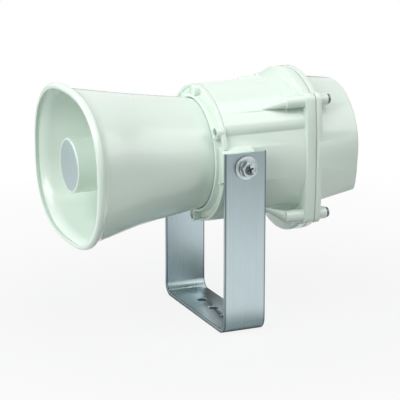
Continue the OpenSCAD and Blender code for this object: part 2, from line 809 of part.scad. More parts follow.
module flat_washer(side) {
    color(steel) pivot_side(side) difference() {
        translate([0, 0, bracket_w / 2]) cylinder(h = washer_t, d = washer_d);
        translate([0, 0, bracket_w / 2 - past]) cylinder(h = washer_t + 2 * past, d = pivot_d + 2 * slip);
    }
}

module phase_plug() {
    color([0.3, 0.3, 0.32]) at_pivot() difference() {
        turned([
            [wall_y - plug_nose_l, 0], [wall_y, tube_bore_back / 2 - plug_nose_gap], [wall_y, plug_r],
            [plug_back_y, plug_r], [plug_back_y, 0]
        ]);
        translate([0, dome_centre_y, 0]) sphere(r = dome_sphere_r + compression_gap);
        for (a = [0:60:300]) rotate([0, a, 0])
            block([tube_bore_back / 2 - plug_slot_in, wall_y - past, -plug_slot_t / 2],
                [plug_slot_reach, plug_back_y + past, plug_slot_t / 2]);
    }
}

module driver_screw_holes(y0, y1, r) {
    for (a = [45:90:315])
        bar_y([driver_screw_r * cos(a), driver_screw_r * sin(a)], y0, y1, r);
}

module driver_adapter() {
    color([0.3, 0.3, 0.32]) at_pivot() difference() {
        turned([
            [wall_y, plug_r + slip], [wall_y, driver_d / 2], [surround_y, driver_d / 2],
            [surround_y, surround_free_r], [plug_back_y - 0.8, surround_free_r - 1],
            [plug_back_y - 0.8, plug_r + slip]
        ]);
        driver_screw_holes(wall_y - past, surround_y + past, driver_screw_d / 2 + slip);
    }
}

module diaphragm_surround() {
    roll_mid = (surround_bore_r + 1.8 + surround_free_r) / 2;
    roll_r = (surround_free_r - surround_bore_r - 1.8) / 2;
    squash = 0.36;
    color([0.55, 0.5, 0.4]) at_pivot() turned(concat(
        [[surround_y + surround_t, surround_bore_r], [surround_y, surround_bore_r]],
        [for (i = [0:8]) let (a = 180 - i * 22.5)
            [surround_y - (roll_r * squash) * sin(a), roll_mid + roll_r * cos(a)]],
        [[surround_y, surround_free_r + 3], [surround_y + surround_t, surround_free_r + 3]],
        [for (i = [0:8]) let (a = i * 22.5)
            [surround_y + surround_t - (roll_r * squash) * sin(a), roll_mid + (roll_r - surround_t / 2) * cos(a)]]
    ));
}

module diaphragm_dome() {
    steps = 10;
    reach = asin((dome_r - 0.3) / dome_sphere_r);
    color([0.75, 0.62, 0.4]) at_pivot() turned(concat(
        [for (i = [0:steps]) let (a = reach * i / steps)
            [dome_centre_y - dome_sphere_r * cos(a), dome_sphere_r * sin(a)]],
        [[ring_y, dome_rim_r], [dome_base_y, dome_rim_r]],
        [for (i = [steps:-1:0]) let (a = reach * 0.97 * i / steps)
            [dome_centre_y - (dome_sphere_r - dome_t) * cos(a), (dome_sphere_r - dome_t) * sin(a)]]
    ));
}

module voice_coil() {
    coil_y = plate_y + 0.4;
    color([0.75, 0.4, 0.2]) at_pivot() turned([
        [dome_base_y, former_r], [dome_base_y, former_r + former_t], [coil_y, former_r + former_t],
        [coil_y, former_r + coil_t], [coil_y + top_plate_t + 0.6, former_r + coil_t],
        [coil_y + top_plate_t + 0.6, former_r]
    ]);
}

module diaphragm_ring() {
    color([0.35, 0.36, 0.38]) at_pivot() difference() {
        turned([
            [ring_y, surround_free_r - 0.5], [ring_y, driver_d / 2],
            [plate_y, driver_d / 2], [plate_y, surround_free_r - 0.5]
        ]);
        turned([
            [ring_y - past, surround_free_r - past], [ring_y - past, surround_free_r + 3.1],
            [ring_y, surround_free_r + 3.1], [ring_y, surround_free_r - past]
        ]);
        driver_screw_holes(ring_y - past, plate_y + past, driver_screw_d / 2 + slip);
    }
}

module driver_top_plate() {
    color([0.5, 0.52, 0.55]) at_pivot() difference() {
        turned([
            [plate_y, plate_bore_r], [plate_y, driver_d / 2], [magnet_y, driver_d / 2], [magnet_y, plate_bore_r]
        ]);
        driver_screw_holes(plate_y - past, magnet_y + past, driver_screw_d / 2 + slip);
    }
}

module driver_magnet() {
    color([0.2, 0.2, 0.22]) at_pivot() turned([
        [magnet_y, plate_bore_r + magnet_gap], [magnet_y, magnet_d / 2],
        [yoke_y, magnet_d / 2], [yoke_y, plate_bore_r + magnet_gap]
    ]);
}

module driver_yoke() {
    vent_r = 4;
    color([0.5, 0.52, 0.55]) at_pivot() difference() {
        turned([
            [plate_y, vent_r], [plate_y, pole_r], [yoke_y, pole_r], [yoke_y, magnet_d / 2 - yoke_step],
            [yoke_end_y, magnet_d / 2 - yoke_step], [yoke_end_y, vent_r]
        ]);
        for (side = [-1, 1])
            bar_y([side * foot_screw_x, 0], yoke_y + foot_screw_floor, yoke_end_y + past, foot_screw_d / 2);
    }
}

module driver_screws() {
    color(steel) at_pivot() for (a = [45:90:315])
        translate([driver_screw_r * cos(a), 0, driver_screw_r * sin(a)]) along_y() {
            translate([0, 0, joint_y + driver_screw_sink])
                cylinder(h = magnet_y - joint_y - driver_screw_sink, d = driver_screw_d);
            translate([0, 0, magnet_y]) cylinder(h = driver_head_h, d = driver_head_d);
        }
}

module transformer_core() {
    color([0.4, 0.42, 0.45]) at_pivot() difference() {
        block([-core_w / 2, core_y, -core_h / 2], [core_w / 2, core_y + core_t, core_h / 2]);
        for (side = [-1, 1]) {
            inner = core_leg / 2;
            outer = core_leg / 2 + core_window;
            block([side > 0 ? inner : -outer, core_y - past, -core_window_h / 2],
                [side > 0 ? outer : -inner, core_y + core_t + past, core_window_h / 2]);
        }
    }
}

module transformer_winding() {
    half_x = core_leg / 2 + core_window - winding_gap;
    half_z = core_window_h / 2 - winding_gap;
    color([0.75, 0.55, 0.25]) at_pivot() difference() {
        block([-half_x, core_y - winding_out, -half_z], [half_x, core_y + core_t + winding_out, half_z]);
        block([-core_leg / 2 - slip, core_y - slip, -half_z - past],
            [core_leg / 2 + slip, core_y + core_t + slip, half_z + past]);
    }
}

module transformer_strap() {
    out_x = core_w / 2 + strap_t;
    end_y = core_y + core_t + strap_t;
    color(steel) at_pivot() difference() {
        union() {
            for (side = [-1, 1]) {
                x0 = side > 0 ? core_w / 2 : -out_x;
                block([x0, yoke_end_y, -strap_w / 2], [x0 + strap_t, core_y + core_t, strap_w / 2]);
                f0 = side > 0 ? out_x : -out_x - foot_l;
                block([f0, yoke_end_y, -strap_w / 2], [f0 + foot_l, yoke_end_y + strap_t, strap_w / 2]);
                t0 = side > 0 ? core_leg / 2 + core_window + strap_gap : -out_x;
                t1 = side > 0 ? out_x : -core_leg / 2 - core_window - strap_gap;
                block([t0, core_y + core_t, -strap_w / 2], [t1, end_y, strap_w / 2]);
                block([t0, core_y - strap_t, -strap_w / 2], [t1, core_y, strap_w / 2]);
            }
        }
        for (side = [-1, 1])
            bar_y([side * foot_screw_x, 0], yoke_end_y - past, yoke_end_y + strap_t + past,
                foot_screw_d / 2 + slip);
    }
}

module transformer_screws() {
    color(steel) at_pivot() for (side = [-1, 1])
        translate([side * foot_screw_x, 0, 0]) along_y() {
            translate([0, 0, yoke_y + foot_screw_floor])
                cylinder(h = yoke_t - foot_screw_floor + strap_t, d = foot_screw_d);
            translate([0, 0, yoke_end_y + strap_t]) cylinder(h = foot_head_h, d = foot_head_d);
        }
}

module terminal_block() {
    front_y = cover_inside_y - terminal_l;
    color([0.15, 0.15, 0.16]) at_pivot() difference() {
        block([-terminal_w / 2, front_y, terminal_z - terminal_h / 2],
            [terminal_w / 2, cover_inside_y, terminal_z + terminal_h / 2]);
        for (i = [0:terminal_ways - 1]) {
            x = -terminal_w / 2 + terminal_pitch * (i + 0.5);
            bar_y([x, terminal_z + terminal_screw_up], front_y - past, cover_inside_y - terminal_floor,
                terminal_screw_r);
            block([x - terminal_slot_half, front_y - past, terminal_z - terminal_slot_low],
                [x + terminal_slot_half, front_y + terminal_slot_depth, terminal_z - terminal_slot_high]);
        }
    }
}

module terminal_screws() {
    color([0.8, 0.65, 0.35]) at_pivot() for (i = [0:terminal_ways - 1])
        bar_y([-terminal_w / 2 + terminal_pitch * (i + 0.5), terminal_z + terminal_screw_up],
            cover_inside_y - terminal_l + terminal_screw_sink, cover_inside_y - terminal_floor,
            terminal_screw_r);
}

module cable_grommet() {
    color([0.15, 0.15, 0.15]) at_pivot() translate([0, 0, cable_z]) turned([
        [cover_inside_y - grommet_lip_t, cable_d / 2], [cover_inside_y - grommet_lip_t, grommet_r + grommet_lip],
        [cover_inside_y, grommet_r + grommet_lip], [cover_inside_y, grommet_r],
        [cover_end_y, grommet_r], [cover_end_y, grommet_r + grommet_lip],
        [cover_end_y + grommet_stand - 0.4, grommet_r + grommet_lip - 0.4],
        [cover_end_y + grommet_stand, grommet_r + grommet_lip - grommet_lip_t],
        [cover_end_y + grommet_stand, cable_d / 2]
    ]);
}

module cable_clamp() {
    mid_y = cover_inside_y - shelf_l / 2;
    color([0.15, 0.15, 0.16]) at_pivot() difference() {
        union() {
            block([-clamp_screw_x - clamp_end, mid_y - clamp_half_w, clamp_z],
                [clamp_screw_x + clamp_end, mid_y + clamp_half_w, clamp_z + clamp_t]);
            for (side = [-1, 1])
                translate([side * clamp_screw_x, mid_y, shelf_z]) cylinder(h = clamp_z - shelf_z + 1, r = clamp_post_r);
        }
        for (side = [-1, 1])
            translate([side * clamp_screw_x, mid_y, shelf_z - past])
                cylinder(h = clamp_z + clamp_t - shelf_z + 2 * past, d = clamp_hole_d);
    }
}

module clamp_screws() {
    mid_y = cover_inside_y - shelf_l / 2;
    color(steel) at_pivot() for (side = [-1, 1]) translate([side * clamp_screw_x, mid_y, 0]) {
        translate([0, 0, shelf_z - clamp_screw_depth])
            cylinder(h = clamp_z + clamp_t - shelf_z + clamp_screw_depth, d = clamp_screw_d);
        translate([0, 0, clamp_z + clamp_t]) cylinder(h = clamp_head_h, d = clamp_head_d);
    }
}

bracket();
horn_bell();
bell_seal();
reflector_cup();
cup_plate();
throat_tube();
front_flange();
flange_screws();
housing();
rear_gasket();
rear_cover();
cover_screws();
pivot_insert(1);  // pivot_insert_right
pivot_insert(-1);  // pivot_insert_left
pivot_screw(1);  // pivot_screw_right
pivot_screw(-1);  // pivot_screw_left
spring_washer(1);  // spring_washer_right
spring_washer(-1);  // spring_washer_left
flat_washer(1);  // flat_washer_right
flat_washer(-1);  // flat_washer_left
phase_plug();
driver_adapter();
diaphragm_surround();
diaphragm_dome();
voice_coil();
diaphragm_ring();
driver_top_plate();
driver_magnet();
driver_yoke();
driver_screws();
transformer_core();
transformer_winding();
transformer_strap();
transformer_screws();
terminal_block();
terminal_screws();
cable_grommet();
cable_clamp();
clamp_screws();
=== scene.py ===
"""Weatherproof folded-horn loudspeaker on a U bracket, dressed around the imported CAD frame.

Every length is in metres, in the frame's own coordinates: +Z is up, the mouth faces -Y, and the
horn's axis runs along Y at the height of the pivot.
"""

import json
import logging
import math
from dataclasses import dataclass
from enum import Enum
from typing import Any, Iterable, Sequence

import bmesh
import bpy
from mathutils import Matrix, Vector

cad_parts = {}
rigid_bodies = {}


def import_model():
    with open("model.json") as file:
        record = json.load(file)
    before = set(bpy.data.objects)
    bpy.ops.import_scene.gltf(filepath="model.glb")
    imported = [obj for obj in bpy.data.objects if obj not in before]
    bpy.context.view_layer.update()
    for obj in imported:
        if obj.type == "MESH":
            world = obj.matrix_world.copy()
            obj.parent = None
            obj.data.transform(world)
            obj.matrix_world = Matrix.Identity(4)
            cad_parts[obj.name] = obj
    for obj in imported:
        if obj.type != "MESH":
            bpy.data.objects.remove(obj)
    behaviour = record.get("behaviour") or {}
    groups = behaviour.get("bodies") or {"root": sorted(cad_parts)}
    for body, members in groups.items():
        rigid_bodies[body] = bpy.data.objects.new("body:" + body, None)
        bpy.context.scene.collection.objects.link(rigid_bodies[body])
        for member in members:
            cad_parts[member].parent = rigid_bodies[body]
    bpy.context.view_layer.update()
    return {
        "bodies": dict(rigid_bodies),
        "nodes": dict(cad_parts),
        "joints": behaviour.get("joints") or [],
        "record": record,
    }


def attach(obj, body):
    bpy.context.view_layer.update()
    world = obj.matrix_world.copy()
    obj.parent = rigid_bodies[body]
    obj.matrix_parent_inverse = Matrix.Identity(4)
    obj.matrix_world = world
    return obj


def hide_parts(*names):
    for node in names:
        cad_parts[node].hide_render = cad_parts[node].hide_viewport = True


LOG = logging.getLogger("horn_speaker")

MM = 0.001
PIVOT_Z = 0.116
HORN_AXIS = (0.0, 0.0, PIVOT_Z)

CUT_EDGE = "cut_edge"
SIDE_SHADE = "painted_side_shade"
RECESS_R = 0.0024
RECESS_DEPTH = 0.0003
SEAM_GAP = 2e-6
AXIS_R = 0.001

SHARP_FROM = 30.0
SOFT_FROM = 40.0
WHITE = (1.0, 1.0, 1.0)

Point2 = tuple[float, float]
Point3 = tuple[float, float, float]
Colour = tuple[float, float, float, float]
Values = dict[Any, Any]


class Body(Enum):
    """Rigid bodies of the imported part."""

    STAND = "stand"
    HORN = "horn"
    DIAPHRAGM = "diaphragm"


class Slot(Enum):
    """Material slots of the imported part."""

    WHITE = "white_plastic"
    STAINLESS = "stainless"
    ZINC = "zinc_steel"
    PLATE = "satin_aluminium"


# Node trees


class Sock:
    """A value socket that Python's operators turn into Math nodes."""

    def __init__(self, nodes: "Nodes", socket: Any) -> None:
        """Wraps a socket.

        Args:
            nodes: The tree that new nodes are added to.
            socket: An output socket.
        """
        self.nodes = nodes
        self.socket = socket

    def math(self, operation: str, second: Any = None, first: Any = None) -> "Sock":
        """Adds one Math node.

        Args:
            operation: The node's operation.
            second: The second number or socket, where there is one.
            first: The first number or socket, where it isn't this one.

        Returns:
            The node's result.
        """
        values = {0: self if first is None else first}
        if second is not None:
            values[1] = second
        return self.nodes.add("ShaderNodeMath", {"operation": operation}, values)

    def __add__(self, other: Any) -> "Sock":
        """Sum."""
        return self.math("ADD", other)

    def __sub__(self, other: Any) -> "Sock":
        """Difference."""
        return self.math("SUBTRACT", other)

    def __rsub__(self, other: Any) -> "Sock":
        """Difference the other way round."""
        return self.math("SUBTRACT", self, other)

    def __mul__(self, other: Any) -> "Sock":
        """Product."""
        return self.math("MULTIPLY", other)

    def __truediv__(self, other: Any) -> "Sock":
        """Quotient."""
        return self.math("DIVIDE", other)

    def __rtruediv__(self, other: Any) -> "Sock":
        """Quotient the other way round."""
        return self.math("DIVIDE", self, other)

    def __pow__(self, other: Any) -> "Sock":
        """Power."""
        return self.math("POWER", other)

    def __abs__(self) -> "Sock":
        """Value without its sign."""
        return self.math("ABSOLUTE")

    def clamped(self) -> "Sock":
        """Value held between 0 and 1."""
        return self.math("MAXIMUM", 0.0).math("MINIMUM", 1.0)


class Nodes:
    """A node tree whose nodes all come from one method."""

    def __init__(self, tree: Any) -> None:
        """Starts with an empty tree.

        Args:
            tree: The tree.
        """
        self.tree = tree
        tree.nodes.clear()

    def node(self, kind: str, settings: Values | None = None, values: Values | None = None) -> Any:
        """Adds a node, sets its properties, then its sockets.

        Args:
            kind: The node's type.
            settings: Its properties.
            values: Plain values or sockets by input name or index.

        Returns:
            The node.
        """
        made = self.tree.nodes.new(kind)
        for key, value in (settings or {}).items():
            setattr(made, key, value)
        for key, value in (values or {}).items():
            self.feed(made.inputs[key], value)
        return made

    def add(self, kind: str, settings: Values | None = None, values: Values | None = None, out: Any = 0) -> Sock:
        """Adds a node and wraps one of its outputs.

        Args:
            kind: The node's type.
            settings: Its properties.
            values: Plain values or sockets by input name or index.
            out: Name or index of the output.

        Returns:
            The output.
        """
        return Sock(self, self.node(kind, settings, values).outputs[out])

    def feed(self, target: Any, value: Any) -> None:
        """Links a socket or sets a plain value.

        Args:
            target: The input socket.
            value: A Sock, a number or a colour.
        """
        if isinstance(value, Sock):
            self.tree.links.new(value.socket, target)
        else:
            target.default_value = value


class Shader(Nodes):
    """A new material with a Principled BSDF."""

    def __init__(self, name: str) -> None:
        """Starts the material.

        Args:
            name: The material's name.
        """
        self.material = bpy.data.materials.new(name)
        self.material.use_nodes = True
        super().__init__(self.material.node_tree)
        self.bsdf = self.node("ShaderNodeBsdfPrincipled")
        self.paint = Sock(self, self.bsdf.outputs[0])
        self.output = self.node("ShaderNodeOutputMaterial", {}, {"Surface": self.paint})

    def coords(self, scale: Point3 = (1.0, 1.0, 1.0), uv: bool = False) -> Sock:
        """Object or UV coordinates through a Mapping node.

        Args:
            scale: Stretch of the pattern along each axis.
            uv: Whether the piece's own UV map is read.

        Returns:
            The mapped vector.
        """
        source = self.add("ShaderNodeTexCoord", out="UV" if uv else "Object")
        return self.add("ShaderNodeMapping", {}, {"Vector": source, "Scale": scale})

    def noise(self, where: Sock, scale: float, detail: float = 2.0, roughness: float = 0.5) -> Sock:
        """Noise value.

        Args:
            where: The vector that the noise reads.
            scale: Cells to the metre.
            detail: Octaves.
            roughness: Weight of the finer octaves.

        Returns:
            The noise, about 0.5 in the mean.
        """
        values = {"Vector": where, "Scale": scale, "Detail": detail, "Roughness": roughness}
        return self.add("ShaderNodeTexNoise", {"noise_dimensions": "3D"}, values, "Fac")

    def attribute(self, name: str) -> Sock:
        """Value of a face attribute of the piece."""
        return self.add("ShaderNodeAttribute", {"attribute_name": name}, {}, "Fac")

    def ramp(self, value: Sock, low: float, high: float) -> Sock:
        """Value stretched from the band low to high onto 0 to 1."""
        values = {"Value": value, "From Min": low, "From Max": high}
        return self.add("ShaderNodeMapRange", {"clamp": True}, values)

    def blend(self, factor: Sock, first: Any, second: Any) -> Sock:
        """Mix of two colours.

        Args:
            factor: How much of the second colour.
            first: The first colour.
            second: The second colour.

        Returns:
            The mixed colour.
        """
        return self.add("ShaderNodeMix", {"data_type": "RGBA"}, {"Factor": factor, 6: first, 7: second}, 2)

    def bump(self, height: Sock, depth: float, strength: float) -> None:
        """Bumps the surface.

        Args:
            height: Height from 0 to 1.
            depth: What a height of 1 stands for, in metres.
            strength: Strength of the bump.
        """
        values = {"Strength": strength, "Distance": depth, "Height": height}
        self.surface(Normal=self.add("ShaderNodeBump", {}, values))

    def surface(self, **values: Any) -> None:
        """Sets the Principled BSDF's inputs; an underscore in a name stands for a space."""
        for key, value in values.items():
            self.feed(self.bsdf.inputs[key.replace("_", " ")], value)


def shade(colour: Point3, by: float = 1.0) -> Colour:
    """Colour made darker or lighter by a factor, with full alpha."""
    return (colour[0] * by, colour[1] * by, colour[2] * by, 1.0)


# Finishes


@dataclass(frozen=True)
class MouldedPlastic:
    """Injection-moulded plastic with a faint orange peel, soft handling marks and dust."""

    name: str
    colour: Point3
    roughness: float = 0.24
    coat: float = 0.35
    peel: float = 0.000012

    def material(self) -> Any:
        """Builds the material.

        Returns:
            The finished material.
        """
        s = Shader(self.name)
        where = s.coords()
        cloudy = s.noise(where, 34.0, 4.0, 0.6)
        marks = s.ramp(s.noise(where, 90.0, 6.0, 0.7), 0.50, 0.78)
        tint = s.blend(cloudy, shade(self.colour, 0.985), shade(self.colour, 1.01))
        dusty = s.blend(marks * 0.02, tint, shade(self.colour, 0.86))
        peel = s.noise(where, 520.0, 2.0, 0.45) + marks * 0.15
        s.surface(
            Base_Color=dusty,
            Roughness=marks * 0.06 + cloudy * 0.05 + (self.roughness - 0.03),
            IOR=1.5,
            Coat_Weight=self.coat,
            Coat_Roughness=0.08,
        )
        s.bump(peel, self.peel, 0.4)
        return s.material


@dataclass(frozen=True)
class BrushedSteel:
    """Stainless strip brushed along its length, read from the piece's own UV map.

    A field gives the band of |y|, in metres, over which painted shade darkens the strip towards its edges.
    """

    name: str
    colour: Point3
    roughness: float = 0.29
    edge_shade_band: Point2 = (0.0137, 0.0143)

    def material(self) -> Any:
        """Builds the material.

        Returns:
            The finished material.
        """
        s = Shader(self.name)
        lines = s.coords((9000.0, 22.0, 1.0), uv=True)
        broad = s.coords((1400.0, 9.0, 1.0), uv=True)
        patches = s.coords((40.0, 25.0, 1.0), uv=True)
        fine = s.noise(lines, 1.0, 3.0, 0.6)
        wide = s.noise(broad, 1.0, 2.0, 0.5)
        cloud = s.noise(patches, 1.0, 3.0, 0.55)
        tone = (fine * 0.55 + wide * 0.30 + cloud * 0.25).clamped()
        brushed = s.blend(tone, shade(self.colour, 0.74), shade(self.colour, 1.22))
        cut = s.attribute(CUT_EDGE)
        across = abs(s.add("ShaderNodeSeparateXYZ", {}, {0: s.coords()}, "Y"))
        # Painted shade: across that band the strip darkens strongly, standing in for the dark reflection of its
        # rounded edges.
        edge_shade_band = s.ramp(across, *self.edge_shade_band)
        rolled = s.blend(edge_shade_band * 0.8, brushed, shade(self.colour, 0.22))
        colour = s.blend(cut, rolled, shade(self.colour, 0.9))
        s.surface(
            Base_Color=colour,
            Metallic=1.0,
            Roughness=fine * 0.12 + wide * 0.08 + cut * 0.16 + (self.roughness - 0.10),
            Anisotropic=0.8,
        )
        s.bump(fine * 0.7 + wide * 0.3, 0.00003, 0.35)
        return s.material


@dataclass(frozen=True)
class PlatedSteel:
    """Bright zinc plate on turned or pressed steel, with faint stains and painted shade on the faces that carry
    the side mark.
    """

    name: str
    colour: Point3
    roughness: float = 0.26

    def material(self) -> Any:
        """Builds the material.

        Returns:
            The finished material.
        """
        s = Shader(self.name)
        where = s.coords()
        stain = s.ramp(s.noise(where, 420.0, 4.0, 0.6), 0.42, 0.72)
        grain = s.noise(where, 5200.0, 2.0, 0.5)
        turned = s.blend(stain * 0.5, shade(self.colour), shade(self.colour, 0.72))
        # Painted shade: faces turned away from the axis, and the recess, are darkened almost to black.
        colour = s.blend(s.attribute(SIDE_SHADE) * 0.9, turned, shade(self.colour, 0.12))
        rough = stain * 0.16 + grain * 0.08 + self.roughness - 0.05
        s.surface(Base_Color=colour, Metallic=1.0, Roughness=rough)
        s.bump(grain, 0.00001, 0.3)
        return s.material


@dataclass(frozen=True)
class SatinPlate:
    """Thin aluminium plate with a straight satin grain."""

    name: str
    colour: Point3

    def material(self) -> Any:
        """Builds the material.

        Returns:
            The finished material.
        """
        s = Shader(self.name)
        grain = s.noise(s.coords((6500.0, 30.0, 60.0)), 1.0, 3.0, 0.6)
        cloud = s.noise(s.coords(), 160.0, 3.0, 0.5)
        tone = grain * 0.6 + cloud * 0.4
        colour = s.blend(tone, shade(self.colour, 0.86), shade(self.colour, 1.10))
        s.surface(Base_Color=colour, Metallic=0.85, Roughness=grain * 0.18 + 0.30)
        s.bump(grain, 0.00001, 0.3)
        return s.material


@dataclass(frozen=True)
class MattePiece:
    """Plain inner or rubber piece with a fine grain and a cloudy tone."""

    name: str
    colour: Point3
    roughness: float = 0.6
    metallic: float = 0.0
    grain: float = 1500.0
    depth: float = 0.00003
    stretch: Point3 = (1.0, 1.0, 1.0)

    def material(self) -> Any:
        """Builds the material.

        Returns:
            The finished material.
        """
        s = Shader(self.name)
        where = s.coords(self.stretch)
        grain = s.noise(where, self.grain, 3.0, 0.6)
        cloud = s.noise(where, self.grain / 20.0, 3.0, 0.5)
        tone = grain * 0.5 + cloud * 0.5
        colour = s.blend(tone, shade(self.colour, 0.78), shade(self.colour, 1.22))
        rough = grain * 0.14 + cloud * 0.10 + self.roughness - 0.12
        s.surface(Base_Color=colour, Metallic=self.metallic, Roughness=rough)
        s.bump(grain, self.depth, 0.4)
        return s.material


class Finishes:
    """Every finish of the object, each built once."""

    def __init__(self) -> None:
        """Builds the materials."""
        self.white = MouldedPlastic("white_plastic_gloss", (0.76, 0.87, 0.782)).material()
        self.grey = MouldedPlastic("grey_plastic_satin", (0.70, 0.74, 0.70), 0.42, 0.1).material()
        self.steel = BrushedSteel("stainless_brushed", (0.52, 0.62, 0.65)).material()
        self.zinc = PlatedSteel("zinc_plate", (0.64, 0.72, 0.74)).material()
        self.plate = SatinPlate("satin_plate", (0.53, 0.64, 0.645)).material()
        matte = {
            "rubber": ("rubber_black", (0.028, 0.028, 0.030), 0.72),
            "gasket": ("gasket_grey", (0.32, 0.35, 0.34), 0.7),
            "dark": ("plastic_dark", (0.035, 0.036, 0.040), 0.5, 0.0, 900.0),
            "brass": ("brass_turned", (0.60, 0.42, 0.16), 0.32, 1.0, 2600.0, 0.00001),
            "copper": ("winding_wire", (0.55, 0.24, 0.09), 0.4, 0.9, 90.0, 0.00008, (1, 28, 28)),
            "cloth": ("dome_cloth", (0.42, 0.27, 0.12), 0.66, 0.0, 2800.0),
            "ferrite": ("ferrite_ground", (0.035, 0.035, 0.038), 0.5, 0.35, 1100.0),
            "sheets": ("core_sheets", (0.16, 0.165, 0.175), 0.46, 0.7, 60.0, 0.0001, (1, 34, 1)),
        }
        self.matte = {key: MattePiece(*values).material() for key, values in matte.items()}

    def named(self, key: str) -> Any:
        """The material of that name."""
        return self.matte[key] if key in self.matte else getattr(self, key)


# Geometry Nodes trees


class NodeTree(Nodes):
    """A Geometry Nodes tree with named inputs, ending in Realize Instances and Set Material."""

    def __init__(self, name: str, inputs: Sequence[tuple[str, str, Any]]) -> None:
        """Starts a tree.

        Args:
            name: The tree's name.
            inputs: Name, kind of value and default of each input after the geometry.
        """
        super().__init__(bpy.data.node_groups.new(name, "GeometryNodeTree"))
        for label, kind, value in [("Geometry", "Geometry", None), *inputs, ("Finish", "Material", None)]:
            socket = self._socket(label, "INPUT", kind)
            if value is not None:
                socket.default_value = value
        self._socket("Geometry", "OUTPUT", "Geometry")
        self.entry = self.node("NodeGroupInput")

    def _socket(self, label: str, way: str, kind: str) -> Any:
        """Adds an input or an output to the tree.

        Args:
            label: Its name.
            way: INPUT or OUTPUT.
            kind: Its kind of value.

        Returns:
            The interface's socket.
        """
        return self.tree.interface.new_socket(name=label, in_out=way, socket_type="NodeSocket" + kind)

    def named(self, label: str) -> Sock:
        """The tree's own input of that name."""
        return Sock(self, self.entry.outputs[label])

    def finish(self, geometry: Sock) -> "NodeTree":
        """Ends the tree.

        Args:
            geometry: The geometry to hand out.

        Returns:
            The tree itself.
        """
        real = self.add("GeometryNodeRealizeInstances", {}, {"Geometry": geometry})
        values = {"Geometry": real, "Material": self.named("Finish")}
        self.node("NodeGroupOutput", {}, {0: self.add("GeometryNodeSetMaterial", {}, values)})
        return self

    def instances(self, points: Sock, model: Sock, turn: Sock) -> "NodeTree":
        """Ends the tree with a copy of a model at each point.

        Args:
            points: The points.
            model: What is copied.
            turn: Turn of each copy about the horn's axis.

        Returns:
            The tree itself.
        """
        euler = self.add("ShaderNodeCombineXYZ", {}, {"Y": turn})
        rotation = self.add("FunctionNodeEulerToRotation", {}, {0: euler})
        values = {"Points": points, "Instance": model, "Rotation": rotation}
        return self.finish(self.add("GeometryNodeInstanceOnPoints", {}, values))

    def apply(self, source: Any, name: str, values: dict[str, Any]) -> Any:
        """Runs the tree on an object and keeps the result as a plain mesh.

        Args:
            source: The object that the tree starts from; it is removed.
            name: The new piece's name.
            values: The tree's inputs by name.

        Returns:
            The new object.
        """
        modifier = source.modifiers.new("build", "NODES")
        modifier.node_group = self.tree
        for item in self.tree.interface.items_tree:
            if item.in_out == "INPUT" and item.name in values:
                modifier[item.identifier] = values[item.name]
        mesh = evaluated_mesh(source)
        bpy.data.objects.remove(source)
        mesh.name = name
        return new_object(name, mesh)


def turned_tree() -> NodeTree:
    """Tree that turns a row of profile points about the horn's axis.

    The source's points hold the radius in X and the place along the axis in Y. A grid has one
    column for each step of the turn and one row for each point of the profile. Between the two
    places named Round until and Shaped from, the section goes from a circle to an oval that is
    wider by Extra width and as square as Power says.

    Returns:
        The tree.
    """
    t = NodeTree(
        "turned_piece",
        [
            ("Steps", "Int", 96),
            ("Points", "Int", 2),
            ("Centre", "Vector", HORN_AXIS),
            ("Extra width", "Float", 0.0),
            ("Power", "Float", 2.0),
            ("Round until", "Float", 0.0),
            ("Shaped from", "Float", -1.0),
        ],
    )
    steps, points = t.named("Steps"), t.named("Points")
    values = {"Size X": 1.0, "Size Y": 1.0, "Vertices X": steps, "Vertices Y": points}
    grid = t.add("GeometryNodeMeshGrid", {}, values)
    index = t.add("GeometryNodeInputIndex")
    angle = (index / points).math("FLOOR") * math.tau / (steps - 1.0)
    profile = t.add(
        "GeometryNodeSampleIndex",
        {"data_type": "FLOAT_VECTOR", "domain": "POINT"},
        {
            "Geometry": t.named("Geometry"),
            "Value": t.add("GeometryNodeInputPosition"),
            "Index": index.math("MODULO", points),
        },
    )
    parts = t.node("ShaderNodeSeparateXYZ", {}, {0: profile})
    high, along = Sock(t, parts.outputs["X"]), Sock(t, parts.outputs["Y"])
    values = {"Value": along, "From Min": t.named("Round until"), "From Max": t.named("Shaped from")}
    share = t.add("ShaderNodeMapRange", {"interpolation_type": "SMOOTHSTEP"}, values)
    wide = high + share * t.named("Extra width") * 0.5
    power = share * (t.named("Power") - 2.0) + 2.0
    cosine, sine = angle.math("COSINE"), angle.math("SINE")
    radius = ((abs(cosine) / wide) ** power + (abs(sine) / high) ** power) ** (-1.0 / power)
    place = t.add("ShaderNodeCombineXYZ", {}, {"X": radius * cosine, "Y": along, "Z": radius * sine})
    values = {"Geometry": grid, "Position": place, "Offset": t.named("Centre")}
    moved = t.add("GeometryNodeSetPosition", {}, values)
    closed = t.add("GeometryNodeMergeByDistance", {}, {"Geometry": moved, "Distance": SEAM_GAP})
    return t.finish(t.add("GeometryNodeSetShadeSmooth", {}, {"Geometry": closed, "Shade Smooth": True}))


def rib_tree() -> NodeTree:
    """Tree that repeats one rib about the horn's axis.

    Returns:
        The tree.
    """
    inputs = [("Count", "Int", 3), ("First angle", "Float", 0.0), ("Centre", "Vector", HORN_AXIS)]
    t = NodeTree("ribs_about_axis", inputs)
    points = t.add("GeometryNodePoints", {}, {"Count": t.named("Count"), "Position": t.named("Centre")})
    turn = t.add("GeometryNodeInputIndex") * (math.tau / t.named("Count")) + t.named("First angle")
    return t.instances(points, t.named("Geometry"), turn)


def fastener_tree() -> NodeTree:
    """Tree that puts one fastener at each point of its source.

    Returns:
        The tree.
    """
    t = NodeTree("fasteners", [("Fastener", "Object", None), ("Turn", "Float", 0.4)])
    model = t.add("GeometryNodeObjectInfo", {}, {"Object": t.named("Fastener")}, "Geometry")
    return t.instances(t.named("Geometry"), model, t.add("GeometryNodeInputIndex") * t.named("Turn"))


# Mesh helpers


def new_object(name: str, mesh: Any) -> Any:
    """Object for a mesh, linked to the scene."""
    made = bpy.data.objects.new(name, mesh)
    bpy.context.scene.collection.objects.link(made)
    return made


